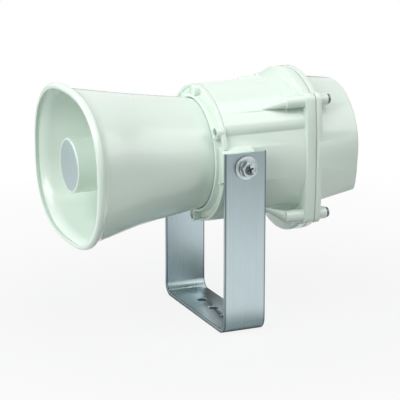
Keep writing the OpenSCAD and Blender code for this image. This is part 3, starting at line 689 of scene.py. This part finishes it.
def card_object(name: str, corners: Sequence[Sequence[float]]) -> Any:
    """Object with one four-cornered face."""
    mesh = bpy.data.meshes.new(name)
    mesh.from_pydata([tuple(c) for c in corners], [], [(0, 1, 2, 3)])
    return new_object(name, mesh)


def evaluated_mesh(piece: Any) -> Any:
    """New mesh with the piece's modifiers applied."""
    graph = bpy.context.evaluated_depsgraph_get()
    return bpy.data.meshes.new_from_object(piece.evaluated_get(graph))


def apply_modifiers(piece: Any) -> None:
    """Puts the result of a piece's modifiers in place of its mesh.

    Args:
        piece: The piece.
    """
    mesh = evaluated_mesh(piece)
    piece.modifiers.clear()
    piece.data = mesh


def points_object(name: str, points: Iterable[Point3]) -> Any:
    """Object that holds bare points."""
    mesh = bpy.data.meshes.new(name)
    mesh.from_pydata([tuple(p) for p in points], [], [])
    return new_object(name, mesh)


def closed_object(name: str, work: Any) -> Any:
    """Object from a closed mesh under construction, with its faces turned outward.

    Args:
        name: The object's name.
        work: The mesh under construction; it is freed.

    Returns:
        The object.
    """
    bmesh.ops.recalc_face_normals(work, faces=work.faces)
    mesh = bpy.data.meshes.new(name)
    work.to_mesh(mesh)
    work.free()
    return new_object(name, mesh)


def carve(piece: Any, tool: Any) -> None:
    """Cuts one object out of another.

    Args:
        piece: The piece that is cut.
        tool: What is cut out; it is removed.
    """
    cut = piece.modifiers.new(tool.name, "BOOLEAN")
    cut.operation = "DIFFERENCE"
    cut.solver = "EXACT"
    cut.object = tool
    apply_modifiers(piece)
    bpy.data.objects.remove(tool)


def circle(radius: float, steps: int) -> list[Point2]:
    """Points on a circle about the origin."""
    angles = [math.tau * i / steps for i in range(steps)]
    return [(radius * math.cos(a), radius * math.sin(a)) for a in angles]


def join_rings(work: Any, rings: Sequence[list[Any]]) -> None:
    """Joins each ring of vertices to the next with quads.

    Args:
        work: The mesh under construction.
        rings: The rings, all with the same count.
    """
    for low, high in zip(rings, rings[1:]):
        for i in range(len(low)):
            j = (i + 1) % len(low)
            work.faces.new((low[i], low[j], high[j], high[i]))


def eased(points: Sequence[Point2], radius: float, steps: int = 4, closed: bool = True) -> list[Point2]:
    """Outline or profile whose corners are rounded.

    Args:
        points: The corners; a third value on a corner is its own radius.
        radius: Radius of the rounding.
        steps: Stretches on each corner.
        closed: Whether the last point joins the first.

    Returns:
        The rounded points.
    """
    count = len(points)
    result: list[Point2] = []
    for i, corner in enumerate(points):
        here = Vector(corner[:2])
        size = corner[2] if len(corner) > 2 else radius
        if size <= 0 or (not closed and i in (0, count - 1)):
            result.append(tuple(here))
            continue
        before = Vector(points[i - 1][:2]) - here
        after = Vector(points[(i + 1) % count][:2]) - here
        half = before.angle(after) / 2
        reach = min(size / math.tan(half), before.length * 0.49, after.length * 0.49)
        first = here + before.normalized() * reach
        last = here + after.normalized() * reach
        for step in range(steps + 1):
            f = step / steps
            mid = first.lerp(here, f).lerp(here.lerp(last, f), f)
            result.append(tuple(mid))
    return result


def smooth_by_angle(piece: Any, degrees: float = SHARP_FROM) -> None:
    """Shades a piece smooth, with edges past an angle kept sharp.

    Args:
        piece: The piece.
        degrees: The angle.
    """
    work = bmesh.new()
    work.from_mesh(piece.data)
    limit = math.radians(degrees)
    for face in work.faces:
        face.smooth = True
    for edge in work.edges:
        edge.smooth = not edge.is_manifold or edge.calc_face_angle(0.0) < limit
    work.to_mesh(piece.data)
    work.free()


def mark_side_shade(piece: Any, along: Point3) -> None:
    """Marks how far each face of a fastener is turned away from its axis, which sets how much painted shade it
    gets; the recess counts in full.

    Args:
        piece: The fastener.
        along: Direction of its axis.
    """
    axis = Vector(along)
    faces = piece.data.polygons
    layer = piece.data.attributes.new(SIDE_SHADE, "FLOAT", "FACE")
    outer = max((face.center.dot(axis) for face in faces), key=abs)
    middle = (Vector(piece.bound_box[0]) + Vector(piece.bound_box[6])) / 2
    for face in faces:
        offset = face.center - middle
        radius = (offset - axis * offset.dot(axis)).length
        recess = radius < RECESS_R and abs(outer - face.center.dot(axis)) > RECESS_DEPTH
        turned = 1.0 - abs(face.normal.dot(axis)) ** 2
        layer.data[face.index].value = 1.0 if recess else max(0.0, turned)


def dress(piece: Any, finish: Any, body: Body, slot: Slot | None, *nodes: str) -> Any:
    """Gives a piece its finish, its body and the nodes that it stands for.

    Args:
        piece: The piece.
        finish: Its material.
        body: The body it rides on.
        slot: The record's material slot, where it has one; it is not used.
        nodes: CAD nodes that it replaces.

    Returns:
        The piece.
    """
    piece.data.materials.clear()
    piece.data.materials.append(finish)
    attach(piece, body.value)
    if nodes:
        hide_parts(*nodes)
    LOG.info("piece %s: %d faces on body %s", piece.name, len(piece.data.polygons), body.value)
    return piece


class Workshop:
    """Holds the frame, the finishes and the shared trees."""

    weld = 5e-6
    sliver = 1e-7
    flat_below = 0.8
    ease_from = 38.0

    def __init__(self, frame: dict[str, Any]) -> None:
        """Prepares finishes and trees.
        """
        self.frame = frame
        self.finish = Finishes()
        self.turned = turned_tree()
        self.fasteners = fastener_tree()
        self.ribs = rib_tree()

    def turn(self, name: str, profile: Sequence[Point2], steps: int, **shape: float) -> Any:
        """Turned piece from a closed profile in millimetres.

        Args:
            name: The piece's name.
            profile: Points (radius, place along Y), closed back to the first.
            steps: Steps of the turn.
            **shape: Other inputs of the tree; an underscore in a name stands for a space.

        Returns:
            The piece.
        """
        points = [(r * MM, y * MM, 0.0) for r, y in [*profile, profile[0]]]
        values = {"Steps": steps + 1, "Points": len(points), "Finish": self.finish.white}
        values.update({key.replace("_", " "): value for key, value in shape.items()})
        piece = self.turned.apply(points_object(name + "_profile", points), name, values)
        work = bmesh.new()
        work.from_mesh(piece.data)
        bmesh.ops.dissolve_degenerate(work, edges=work.edges, dist=self.sliver)
        bmesh.ops.recalc_face_normals(work, faces=work.faces)
        work.to_mesh(piece.data)
        work.free()
        return piece

    def copy_node(self, node: str, name: str, ease: float) -> Any:
        """Copy of a CAD node, merged, with its sharp edges eased.

        Args:
            node: The CAD node.
            name: The new piece's name.
            ease: Width of the eased edges in metres.

        Returns:
            The piece.
        """
        mesh = self.frame["nodes"][node].data.copy()
        work = bmesh.new()
        work.from_mesh(mesh)
        bmesh.ops.remove_doubles(work, verts=work.verts, dist=self.weld)
        flat = {"angle_limit": math.radians(self.flat_below), "use_dissolve_boundaries": False}
        bmesh.ops.dissolve_limit(work, verts=work.verts, edges=work.edges, **flat)
        work.to_mesh(mesh)
        work.free()
        piece = new_object(name, mesh)
        bevel = piece.modifiers.new("ease", "BEVEL")
        bevel.width = ease
        bevel.segments = 2
        bevel.limit_method = "ANGLE"
        bevel.angle_limit = math.radians(self.ease_from)
        bevel.use_clamp_overlap = False
        bevel.miter_outer = "MITER_ARC"
        apply_modifiers(piece)
        piece.data.name = name
        return piece


# The horn


@dataclass
class Bell:
    """Bell: a cone, a flare that is an arc, and a rolled lip. Lengths in millimetres."""

    mouth_y: float = -108.4
    mouth_r: float = 53.8
    mouth_extra: float = 20.8
    mouth_power: float = 2.5
    blend_y: float = -50.4
    lip_r: float = 2.7
    front_r: float = 49.76
    front_y: float = -98.0
    back_r: float = 37.8
    back_y: float = -14.8
    wall: float = 2.6
    steps: int = 160
    flare_steps: int = 18
    roll_past: float = 110.0
    cone_rows: tuple[float, ...] = (0.004, 0.2, 0.4, 0.6, 0.75, 0.81, 0.86, 0.91, 0.955)

    def _slope(self) -> float:
        """Angle between the cone and the horn's axis, in radians."""
        return math.atan((self.front_r - self.back_r) / (self.back_y - self.front_y))

    def _flare(self, extra: float, last: float) -> list[Point2]:
        """Points of the flare's arc, kept at a distance outside it.

        Args:
            extra: The distance.
            last: Last angle of the arc in degrees.

        Returns:
            Points (radius, y).
        """
        first = math.degrees(self._slope())
        count = self.flare_steps
        angles = [math.radians(first + (last - first) * i / count) for i in range(count + 1)]
        radius, (cr, cy) = self._flare_circle()
        reach = radius + extra
        return [(cr - reach * math.cos(a), cy - reach * math.sin(a)) for a in angles]

    def _flare_circle(self) -> tuple[float, Point2]:
        """Radius and centre of the arc that is tangent to the cone and to the lip's bead.

        Returns:
            The radius and the centre (radius, y).
        """
        slope = self._slope()
        dy = self.front_y - (self.mouth_y + self.lip_r)
        dr = self.front_r - (self.mouth_r - self.lip_r)
        below = 2 * (self.lip_r - dy * math.sin(slope) - dr * math.cos(slope))
        radius = (dy * dy + dr * dr - self.lip_r**2) / below
        return radius, (self.front_r + radius * math.cos(slope), self.front_y + radius * math.sin(slope))

    def profile(self) -> list[Point2]:
        """Closed profile of the bell.

        Returns:
            Points (radius, y).
        """
        _, (cr, cy) = self._flare_circle()
        bead = (self.mouth_r - self.lip_r, self.mouth_y + self.lip_r)
        end = math.degrees(math.atan((cy - bead[1]) / (cr - bead[0])))
        roll = [
            (bead[0] + self.lip_r * math.cos(a), bead[1] + self.lip_r * math.sin(a))
            for a in (math.radians(end - (end + self.roll_past) * i / 20) for i in range(21))
        ]
        inside = self._flare(self.wall, end - 1.0)[::-1]
        straight = [
            (self.back_r + (self.front_r - self.back_r) * f, self.back_y + (self.front_y - self.back_y) * f)
            for f in self.cone_rows
        ]
        inner = [(r - self.wall, y) for r, y in straight[::-1]]
        return [*straight, *self._flare(0.0, end), *roll[1:], *inside, *inner]

    def build(self, shop: Workshop) -> None:
        """Builds the bell.

        Args:
            shop: The workshop.
        """
        shape = {
            "Extra_width": self.mouth_extra * MM,
            "Power": self.mouth_power,
            "Round_until": self.blend_y * MM,
            "Shaped_from": (self.mouth_y + self.lip_r) * MM,
        }
        piece = shop.turn("bell", self.profile(), self.steps, **shape)
        smooth_by_angle(piece, SOFT_FROM)
        dress(piece, shop.finish.white, Body.HORN, Slot.WHITE, "horn_bell")


@dataclass
class Reflector:
    """Reflector cup with its fins, bare front plate and the sleeve that fits the throat tube. Lengths in
    millimetres.
    """

    nose_r: float = 18.5
    front_y: float = -105.5
    straight_y: float = -71.74
    back_y: float = -30.0
    back_r: float = 26.0
    wall: float = 1.8
    plate_r: float = 16.9
    plate_t: float = 0.8
    hub_y: float = -60.0
    hub_l: float = 16.0
    hub_bore: float = 7.0
    nose_wall: float = 5.0
    tube_r: float = 12.0
    fin_t: float = 1.6

    def _skirt(self, inset: float, count: int) -> list[Point2]:
        """Points of the cup's skirt, which widens as the square of the way back.

        Args:
            inset: How far inside the outer face.
            count: Number of stretches.

        Returns:
            Points (radius, y).
        """
        grown, back = self.back_r - self.nose_r, self.back_y - self.straight_y
        shares = [i / count for i in range(count + 1)]
        return [(self.nose_r + grown * t * t - inset, self.straight_y + back * t) for t in shares]

    def build(self, shop: Workshop) -> None:
        """Builds the cup, its plate and its fins.

        Args:
            shop: The workshop.
        """
        front, seat = self.front_y, self.front_y + self.plate_t
        inner_front = front + self.nose_wall
        socket_r = self.plate_r + 0.1
        nose = eased(
            [
                (AXIS_R, front + 8.0, 0),
                (AXIS_R, seat, 0),
                (socket_r, seat, 0.1),
                (socket_r, front, 0.2),
                (self.nose_r, front, 0.9),
                (self.nose_r, self.straight_y, 0),
            ],
            0.3,
            5,
            closed=False,
        )
        skirt, inner = self._skirt(0.0, 14), self._skirt(self.wall, 14)[::-1]
        ends = [(self.nose_r - self.wall, inner_front), (self.hub_bore, inner_front)]
        self._turned(shop, "cup_shell", [*nose[:-1], *skirt, *inner, *ends], 96, "reflector_cup")
        inner_r, outer_r = self.tube_r + 0.1, self.tube_r + 1.7
        first, last = self.hub_y, self.hub_y + self.hub_l
        sleeve = eased([(inner_r, first), (outer_r, first), (outer_r, last), (inner_r, last)], 0.4)
        self._turned(shop, "cup_sleeve", sleeve, 72, "reflector_cup")
        self._fins(shop, outer_r)
        rim = self.plate_r
        disc = eased([(AXIS_R, front, 0), (AXIS_R, seat, 0), (rim, seat, 0), (rim, front, 0.3)], 0.2)
        plate = shop.turn("nose_plate", disc, 96)
        smooth_by_angle(plate, 50.0)
        dress(plate, shop.finish.plate, Body.HORN, Slot.PLATE, "cup_plate")

    def _turned(self, shop: Workshop, name: str, profile: Sequence[Point2], steps: int, node: str) -> None:
        """Turns one white piece and dresses it.

        Args:
            shop: The workshop.
            name: The piece's name.
            profile: Points (radius, y).
            steps: Steps of the turn.
            node: The CAD node that it stands for.
        """
        piece = shop.turn(name, profile, steps)
        smooth_by_angle(piece, SOFT_FROM)
        dress(piece, shop.finish.white, Body.HORN, Slot.WHITE, node)

    def _fins(self, shop: Workshop, root: float) -> None:
        """Builds the three fins that carry the cup on its sleeve.

        Args:
            shop: The workshop.
            root: Outside radius of the sleeve.
        """
        first, last = self.hub_y + 0.6, self.hub_y + self.hub_l - 0.6
        reach = [(r, y) for r, y in self._skirt(self.wall, 40) if first <= y <= last]
        blade = [(root - 0.4, last), (root - 0.4, first), *((r + 0.3, y) for r, y in reach)]
        work = bmesh.new()
        half = self.fin_t / 2 * MM
        sides = [[work.verts.new((r * MM, y * MM, side * half)) for r, y in blade] for side in (-1, 1)]
        work.faces.new(sides[0])
        work.faces.new(sides[1][::-1])
        join_rings(work, sides)
        values = {"Count": 3, "First angle": math.radians(90), "Finish": shop.finish.white}
        fins = shop.ribs.apply(closed_object("fin", work), "cup_fins", values)
        smooth_by_angle(fins)
        dress(fins, shop.finish.white, Body.HORN, Slot.WHITE, "reflector_cup")


@dataclass
class Shells:
    """Moulded shells that are copied from the solids, with eased edges."""

    ease: float = 0.00035
    metal_ease: float = 0.00014
    turned: tuple[str, ...] = ("pivot_screw", "spring_washer", "flat_washer")
    pieces: tuple[tuple[str, str], ...] = (
        ("front_flange", "collar_flange"),
        ("housing", "driver_housing"),
        ("rear_cover", "back_cover"),
    )

    def build(self, shop: Workshop) -> None:
        """Builds the shells.

        Args:
            shop: The workshop.
        """
        for node, name in self.pieces:
            piece = shop.copy_node(node, name, self.ease)
            smooth_by_angle(piece)
            dress(piece, shop.finish.white, Body.HORN, Slot.WHITE, node)
        for node in self.turned:
            for side in ("right", "left"):
                piece = shop.copy_node(node + "_" + side, node + "_edged_" + side, self.metal_ease)
                mark_side_shade(piece, (1.0, 0.0, 0.0))
                smooth_by_angle(piece)
                dress(piece, shop.finish.zinc, Body.HORN, Slot.ZINC, node + "_" + side)


# The bracket


@dataclass
class Bracket:
    """U bracket bent from one strip with eased edges. Lengths in millimetres."""

    width: float = 104.0
    strip: float = 30.0
    thick: float = 2.5
    top: float = 126.0
    bend: float = 9.0
    edge: float = 0.55
    hole_r: float = 3.5
    pitch: float = 20.0
    pivot_r: float = 3.05
    hole_ease: float = 0.3
    pivot_z: float = 116.0

    def _path(self) -> list[tuple[Point2, Point2, float]]:
        """Middle line of the strip.

        Returns:
            Place (x, z), outward direction and length so far of each station.
        """
        half = self.width / 2 - self.thick / 2
        mid = self.bend - self.thick / 2
        result: list[tuple[Point2, Point2, float]] = []
        stations: list[tuple[Point2, Point2]] = [((-half, self.top), (-1.0, 0.0))]
        stations += [((-half, z), (-1.0, 0.0)) for z in (self.pivot_z + 6, self.pivot_z - 6, 80.0, 45.0)]
        for a in range(0, 91, 9):
            c, s = math.cos(math.radians(a)), math.sin(math.radians(a))
            stations.append(((-half + mid - mid * c, self.thick / 2 + mid - mid * s), (-c, -s)))
        stations += [((x, self.thick / 2), (0.0, -1.0)) for x in (-28.0, -14.0, 0.0, 14.0, 28.0)]
        right = [((-x, z), (-nx, nz)) for (x, z), (nx, nz) in stations[:-5]][::-1]
        length = 0.0
        last = stations[0][0]
        for place, out in stations + right:
            length += math.hypot(place[0] - last[0], place[1] - last[1])
            result.append((place, out, length))
            last = place
        return result

    def _section(self) -> list[Point2]:
        """Section of the strip: across, outwards.

        Returns:
            The outline's points.
        """
        w, t = self.strip / 2, self.thick / 2
        return eased([(-w, -t), (w, -t), (w, t), (-w, t)], self.edge, 4)

    def build(self, shop: Workshop) -> None:
        """Sweeps the strip, cuts its holes and dresses it.

        Args:
            shop: The workshop.
        """
        section = self._section()
        count = len(section)
        work = bmesh.new()
        uv = work.loops.layers.uv.new("strip")
        rings: list[list[Any]] = []
        lengths: list[float] = []
        for (x, z), (nx, nz), length in self._path():
            spots = [((x + nx * o) * MM, a * MM, (z + nz * o) * MM) for a, o in section]
            rings.append([work.verts.new(spot) for spot in spots])
            lengths.append(length)
        around = [0.0]
        for a, b in zip(section, [*section[1:], section[0]]):
            around.append(around[-1] + math.dist(a, b))
        for k in range(len(rings) - 1):
            for i in range(count):
                j = (i + 1) % count
                face = work.faces.new((rings[k][i], rings[k][j], rings[k + 1][j], rings[k + 1][i]))
                cells = ((i, k), (i + 1, k), (i + 1, k + 1), (i, k + 1))
                for loop, (col, row) in zip(face.loops, cells):
                    loop[uv].uv = (around[col] * MM, lengths[row] * MM)
        for ring, length in ((rings[0], lengths[0]), (rings[-1], lengths[-1])):
            face = work.faces.new(ring)
            for loop, (a, o) in zip(face.loops, section):
                loop[uv].uv = (a * MM, (length + o) * MM)
        piece = closed_object("u_bracket", work)
        self._cut(piece)
        self._mark_edges(piece)
        smooth_by_angle(piece)
        dress(piece, shop.finish.steel, Body.STAND, Slot.STAINLESS, "bracket")

    def _mark_edges(self, piece: Any) -> None:
        """Marks the sheared faces and the walls of the base holes, which have no brushing.

        Args:
            piece: The bracket.
        """
        layer = piece.data.attributes.new(CUT_EDGE, "FLOAT", "FACE")
        side = (self.strip / 2 - self.edge * 0.7) * MM
        reach = (self.hole_r + 0.25) * MM
        for face in piece.data.polygons:
            x, y, z = face.center
            near = min(math.hypot(x - i * self.pitch * MM, y) for i in (-1, 0, 1))
            hole = near < reach and z < self.thick * MM and abs(face.normal.z) < 0.8
            sheared = abs(face.normal.y) > 0.95 and abs(y) > side
            layer.data[face.index].value = 1.0 if sheared or hole else 0.0

    def _cut(self, piece: Any) -> None:
        """Cuts the base holes and the pivot holes.

        Args:
            piece: The bracket.
        """
        work = bmesh.new()
        for i in (-1, 0, 1):
            place = Matrix.Translation((i * self.pitch * MM, 0.0, self.thick / 2 * MM))
            self._plug(work, self.hole_r, place)
        for side in (-1, 1):
            place = Matrix.Translation((side * (self.width - self.thick) / 2 * MM, 0.0, self.pivot_z * MM))
            self._plug(work, self.pivot_r, place @ Matrix.Rotation(math.pi / 2, 4, "Y"))
        carve(piece, closed_object("holes", work))

    def _plug(self, work: Any, radius: float, place: Matrix) -> None:
        """Adds one hole's tool, with a flared end on each side that eases the hole's edge.

        Args:
            work: The mesh under construction.
            radius: The hole's radius.
            place: Where the tool goes.
        """
        half, ease, past = self.thick / 2, self.hole_ease, 1.0
        levels = (
            (-half - past, radius + ease + past),
            (-half + ease, radius),
            (half - ease, radius),
            (half + past, radius + ease + past),
        )
        rings = []
        for z, r in levels:
            spots = [Vector((x * MM, y * MM, z * MM)) for x, y in circle(r, 48)]
            rings.append([work.verts.new(place @ spot) for spot in spots])
        join_rings(work, rings)
        work.faces.new(rings[0][::-1])
        work.faces.new(rings[-1])


# The fasteners


@dataclass
class Fasteners:
    """Screws of the cover and of the flange. Lengths in millimetres."""

    cover_points: tuple[Point2, ...] = ((36.6, 37.8), (-36.6, 37.8), (37.4, -41.8), (-37.4, -41.8))
    flange_angles: tuple[float, ...] = (30.0, 150.0, 270.0)
    flange_r: float = 43.6
    cover_head_y: float = 66.9
    flange_head_y: float = -13.4
    turn_step: float = 0.7

    def _screw(self, name: str, shank_r: float, shank_l: float, head_r: float, head_h: float) -> Any:
        """Pan-headed screw with a cross recess; the head's seat is at the origin and it points to +Y.

        Args:
            name: The mesh's name.
            shank_r: Radius of the shank.
            shank_l: Length of the shank.
            head_r: Radius of the head.
            head_h: Height of the head.

        Returns:
            The screw's object.
        """
        corners = [
            (0.01, -shank_l, 0),
            (shank_r, -shank_l, 0.3),
            (shank_r, 0, 0),
            (head_r, 0, 0.3),
            (head_r, head_h, head_h * 0.7),
            (0.01, head_h, 0),
        ]
        work = bmesh.new()
        rings = []
        for r, y in eased(corners, 0.3, 5):
            rings.append([work.verts.new((x * MM, y * MM, z * MM)) for x, z in circle(r, 32)])
        join_rings(work, [*rings, rings[0]])
        bmesh.ops.remove_doubles(work, verts=work.verts, dist=2e-5)
        piece = closed_object(name, work)
        self._recess(piece, head_r * 0.55, head_r * 0.13, head_h)
        smooth_by_angle(piece, 35.0)
        return piece

    def _recess(self, piece: Any, reach: float, half: float, top: float) -> None:
        """Cuts a tapered cross into a head.

        Args:
            piece: The screw.
            reach: Length of each wing.
            half: Half the wing's thickness.
            top: Height of the head.
        """
        for turn in (0.0, math.pi / 2):
            work = bmesh.new()
            ends = ((top - 1.3, reach * 0.35, half * 0.6), (top + 0.4, reach * 1.1, half * 1.2))
            square = ((-1, -1), (1, -1), (1, 1), (-1, 1))
            low, high = [
                [work.verts.new((sx * wide * MM, y * MM, sz * thick * MM)) for sx, sz in square]
                for y, wide, thick in ends
            ]
            work.faces.new(low[::-1])
            work.faces.new(high)
            join_rings(work, (low, high))
            work.transform(Matrix.Rotation(turn, 4, "Y"))
            carve(piece, closed_object("recess", work))

    def _place(self, shop: Workshop, name: str, screw: Any, points: list[Point3], node: str) -> None:
        """Puts copies of a screw at points and dresses them as one piece.

        Args:
            shop: The workshop.
            name: The piece's name.
            screw: The screw to copy; it is removed.
            points: Where the copies go, in metres.
            node: The CAD node that they replace.
        """
        values = {"Fastener": screw, "Turn": self.turn_step, "Finish": shop.finish.zinc}
        piece = shop.fasteners.apply(points_object(name + "_points", points), name, values)
        bpy.data.objects.remove(screw)
        mark_side_shade(piece, (0.0, 1.0, 0.0))
        dress(piece, shop.finish.zinc, Body.HORN, Slot.ZINC, node)

    def build(self, shop: Workshop) -> None:
        """Builds the screws of the cover and of the flange.

        Args:
            shop: The workshop.
        """
        cover = self._screw("cover_screw", 2.0, 22.0, 3.5, 2.4)
        spots = [(x * MM, self.cover_head_y * MM, PIVOT_Z + z * MM) for x, z in self.cover_points]
        self._place(shop, "cover_screw_set", cover, spots, "cover_screws")
        small = self._screw("flange_screw", 1.5, 14.0, 2.9, 2.0)
        small.data.transform(Matrix.Rotation(math.pi, 4, "X"))
        ring = self.flange_r * MM
        turns = [math.radians(angle) for angle in self.flange_angles]
        spots = [(ring * math.cos(a), self.flange_head_y * MM, PIVOT_Z + ring * math.sin(a)) for a in turns]
        self._place(shop, "flange_screw_set", small, spots, "flange_screws")


@dataclass
class Carried:
    """CAD nodes that keep their own mesh and get a better finish."""

    groups: tuple[tuple[str, str], ...] = (
        ("grey", "throat_tube"),
        ("zinc", "driver_top_plate driver_yoke driver_screws clamp_screws"),
        ("zinc", "transformer_strap transformer_screws"),
        ("rubber", "bell_seal cable_grommet"),
        ("gasket", "rear_gasket"),
        ("dark", "phase_plug driver_adapter diaphragm_ring terminal_block cable_clamp"),
        ("brass", "pivot_insert_right pivot_insert_left terminal_screws"),
        ("copper", "voice_coil transformer_winding"),
        ("cloth", "diaphragm_surround diaphragm_dome"),
        ("ferrite", "driver_magnet"),
        ("sheets", "transformer_core"),
    )

    def build(self, shop: Workshop) -> None:
        """Dresses the nodes.

        Args:
            shop: The workshop.
        """
        for finish, nodes in self.groups:
            for node in nodes.split():
                mesh = shop.frame["nodes"][node].data
                for index in range(len(mesh.materials)):
                    mesh.materials[index] = shop.finish.named(finish)
                LOG.info("node %s: finish %s", node, finish)


# The studio


@dataclass
class Studio:
    """Pale floor, white surroundings, soft lights and the camera."""

    azimuth: float = 66.32
    elevation: float = 15.19
    distance: float = 1.300
    focal_px: float = 1887.0
    frame_px: float = 400.0
    sensor_mm: float = 36.0
    shift_right: float = -0.00947
    shift_up: float = -0.01847
    target: Point3 = (0.0, 0.0, 0.100)
    flag_place: Point2 = (-0.30, 0.13)
    flag_half_w: float = 0.22
    flag_span: Point2 = (0.0, 0.16)
    fill: float = 0.20
    floor_half: float = 6.0
    floor_z: float = -0.0004
    whiter: Point2 = (0.12, 0.42)
    under: Point2 = (0.075, 0.095)
    dimmer: Point2 = (0.26, 0.54)
    lights: tuple[tuple[str, Point3, float, float], ...] = (
        ("key", (0.55, 0.20, 1.50), 1.3, 9.8),
        ("front", (0.45, -1.30, 1.10), 1.1, 18.5),
        ("left", (-0.90, -1.20, 0.50), 0.8, 7.0),
        ("back", (0.75, 1.15, 0.90), 1.0, 5.0),
    )

    def _axes(self) -> tuple[Vector, Vector, Vector]:
        """Camera's right, up and back directions.

        Returns:
            The three unit vectors.
        """
        a, e = math.radians(self.azimuth), math.radians(self.elevation)
        back = Vector((math.sin(a) * math.cos(e), -math.cos(a) * math.cos(e), math.sin(e)))
        right = Vector((math.cos(a), math.sin(a), 0.0))
        return right, back.cross(right), back

    def camera(self) -> None:
        """Makes the camera."""
        right, up, back = self._axes()
        data = bpy.data.cameras.new("camera")
        data.sensor_width = self.sensor_mm
        data.lens = self.focal_px * data.sensor_width / self.frame_px
        data.clip_end = 20.0
        made = bpy.data.objects.new("camera", data)
        place = Vector(self.target) + back * self.distance + right * self.shift_right + up * self.shift_up
        turn = Matrix((right, up, back)).transposed()
        made.matrix_world = Matrix.Translation(place) @ turn.to_4x4()
        bpy.context.scene.collection.objects.link(made)
        bpy.context.scene.camera = made

    def _light(self, name: str, place: Point3, size: float, power: float) -> None:
        """Adds one soft light aimed at the object.

        Args:
            name: The light's name.
            place: Where it stands.
            size: Side of its square.
            power: Its power in watts.
        """
        data = bpy.data.lights.new(name, "AREA")
        data.size = size
        data.energy = power
        made = bpy.data.objects.new(name, data)
        made.location = place
        made.rotation_euler = (Vector((0.0, 0.0, 0.1)) - Vector(place)).to_track_quat("-Z", "Y").to_euler()
        bpy.context.scene.collection.objects.link(made)

    def _world(self) -> None:
        """Makes the surroundings: white to the eye and in reflections, plain light elsewhere."""
        world = bpy.data.worlds.new("surroundings")
        bpy.context.scene.world = world
        world.use_nodes = True
        sky = Nodes(world.node_tree)
        path = sky.node("ShaderNodeLightPath")
        rays = ("Is Camera Ray", "Is Glossy Ray", "Is Transmission Ray")
        camera, glossy, clear = (Sock(sky, path.outputs[ray]) for ray in rays)
        seen = camera.math("MAXIMUM", glossy).math("MAXIMUM", clear)
        plain = sky.add("ShaderNodeBackground", {}, {"Color": (0.95, 0.98, 1.0, 1.0), "Strength": self.fill})
        white = sky.add("ShaderNodeBackground", {}, {"Color": shade(WHITE), "Strength": 1.0})
        mixed = sky.add("ShaderNodeMixShader", {}, {0: seen, 1: plain, 2: white})
        sky.node("ShaderNodeOutputWorld", {}, {0: mixed})

    def _floor(self) -> None:
        """Makes the pale floor: it keeps the shadow near the object and is white further out.

        To the eye it turns whiter over one band of distances. In reflections it is dark under the
        object and dims again far out, as a studio's table does.
        """
        half, level = self.floor_half, self.floor_z
        corners = [(-half, -half, level), (half, -half, level), (half, half, level), (-half, half, level)]
        floor = card_object("floor", corners)
        s = Shader("floor_paint")
        s.surface(Base_Color=(0.38, 0.41, 0.405, 1.0), Roughness=0.8, Specular_IOR_Level=0.1)
        path = s.node("ShaderNodeLightPath")
        seen = Sock(s, path.outputs["Is Camera Ray"])
        glossy = Sock(s, path.outputs["Is Glossy Ray"])
        length = s.add("ShaderNodeVectorMath", {"operation": "LENGTH"}, {0: s.coords()}, "Value")
        white, near, beyond = (s.ramp(length, *band) for band in (self.whiter, self.under, self.dimmer))
        glow = s.add("ShaderNodeEmission", {}, {"Color": shade(WHITE), "Strength": 1.0})
        factor = (seen * (white * 0.12 + 0.88) + glossy * near * (1.0 - beyond * 0.8)).clamped()
        mixed = s.add("ShaderNodeMixShader", {}, {0: factor, 1: s.paint, 2: glow})
        s.feed(s.output.inputs["Surface"], mixed)
        floor.data.materials.append(s.material)

    def _flag(self) -> None:
        """Stands a dark card behind the object, low down, which only reflections see."""
        (x, y), half_w, (low, high) = self.flag_place, self.flag_half_w, self.flag_span
        across = Vector((-y, x, 0.0)).normalized() * half_w
        ends = ((-1, low), (1, low), (1, high), (-1, high))
        corners = [Vector((x, y, z)) + across * side for side, z in ends]
        card = card_object("flag", corners)
        s = Shader("flag_cloth")
        s.surface(Base_Color=(0.02, 0.02, 0.02, 1.0), Roughness=0.9)
        card.data.materials.append(s.material)
        card.visible_camera = False
        card.visible_diffuse = False
        card.visible_shadow = False

    def build(self) -> None:
        """Builds the whole studio."""
        self.camera()
        for light in self.lights:
            self._light(*light)
        self._world()
        self._floor()
        self._flag()
        bpy.context.scene.view_settings.view_transform = "Standard"


def main() -> None:
    """Builds every part of the scene in order."""
    logging.basicConfig(level=logging.INFO, format="%(message)s")
    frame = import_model()
    Studio().build()
    shop = Workshop(frame)
    for part in (Bell(), Reflector(), Shells(), Bracket(), Fasteners(), Carried()):
        part.build(shop)
    LOG.info("sizes written")


if __name__ == "__main__":
    main()
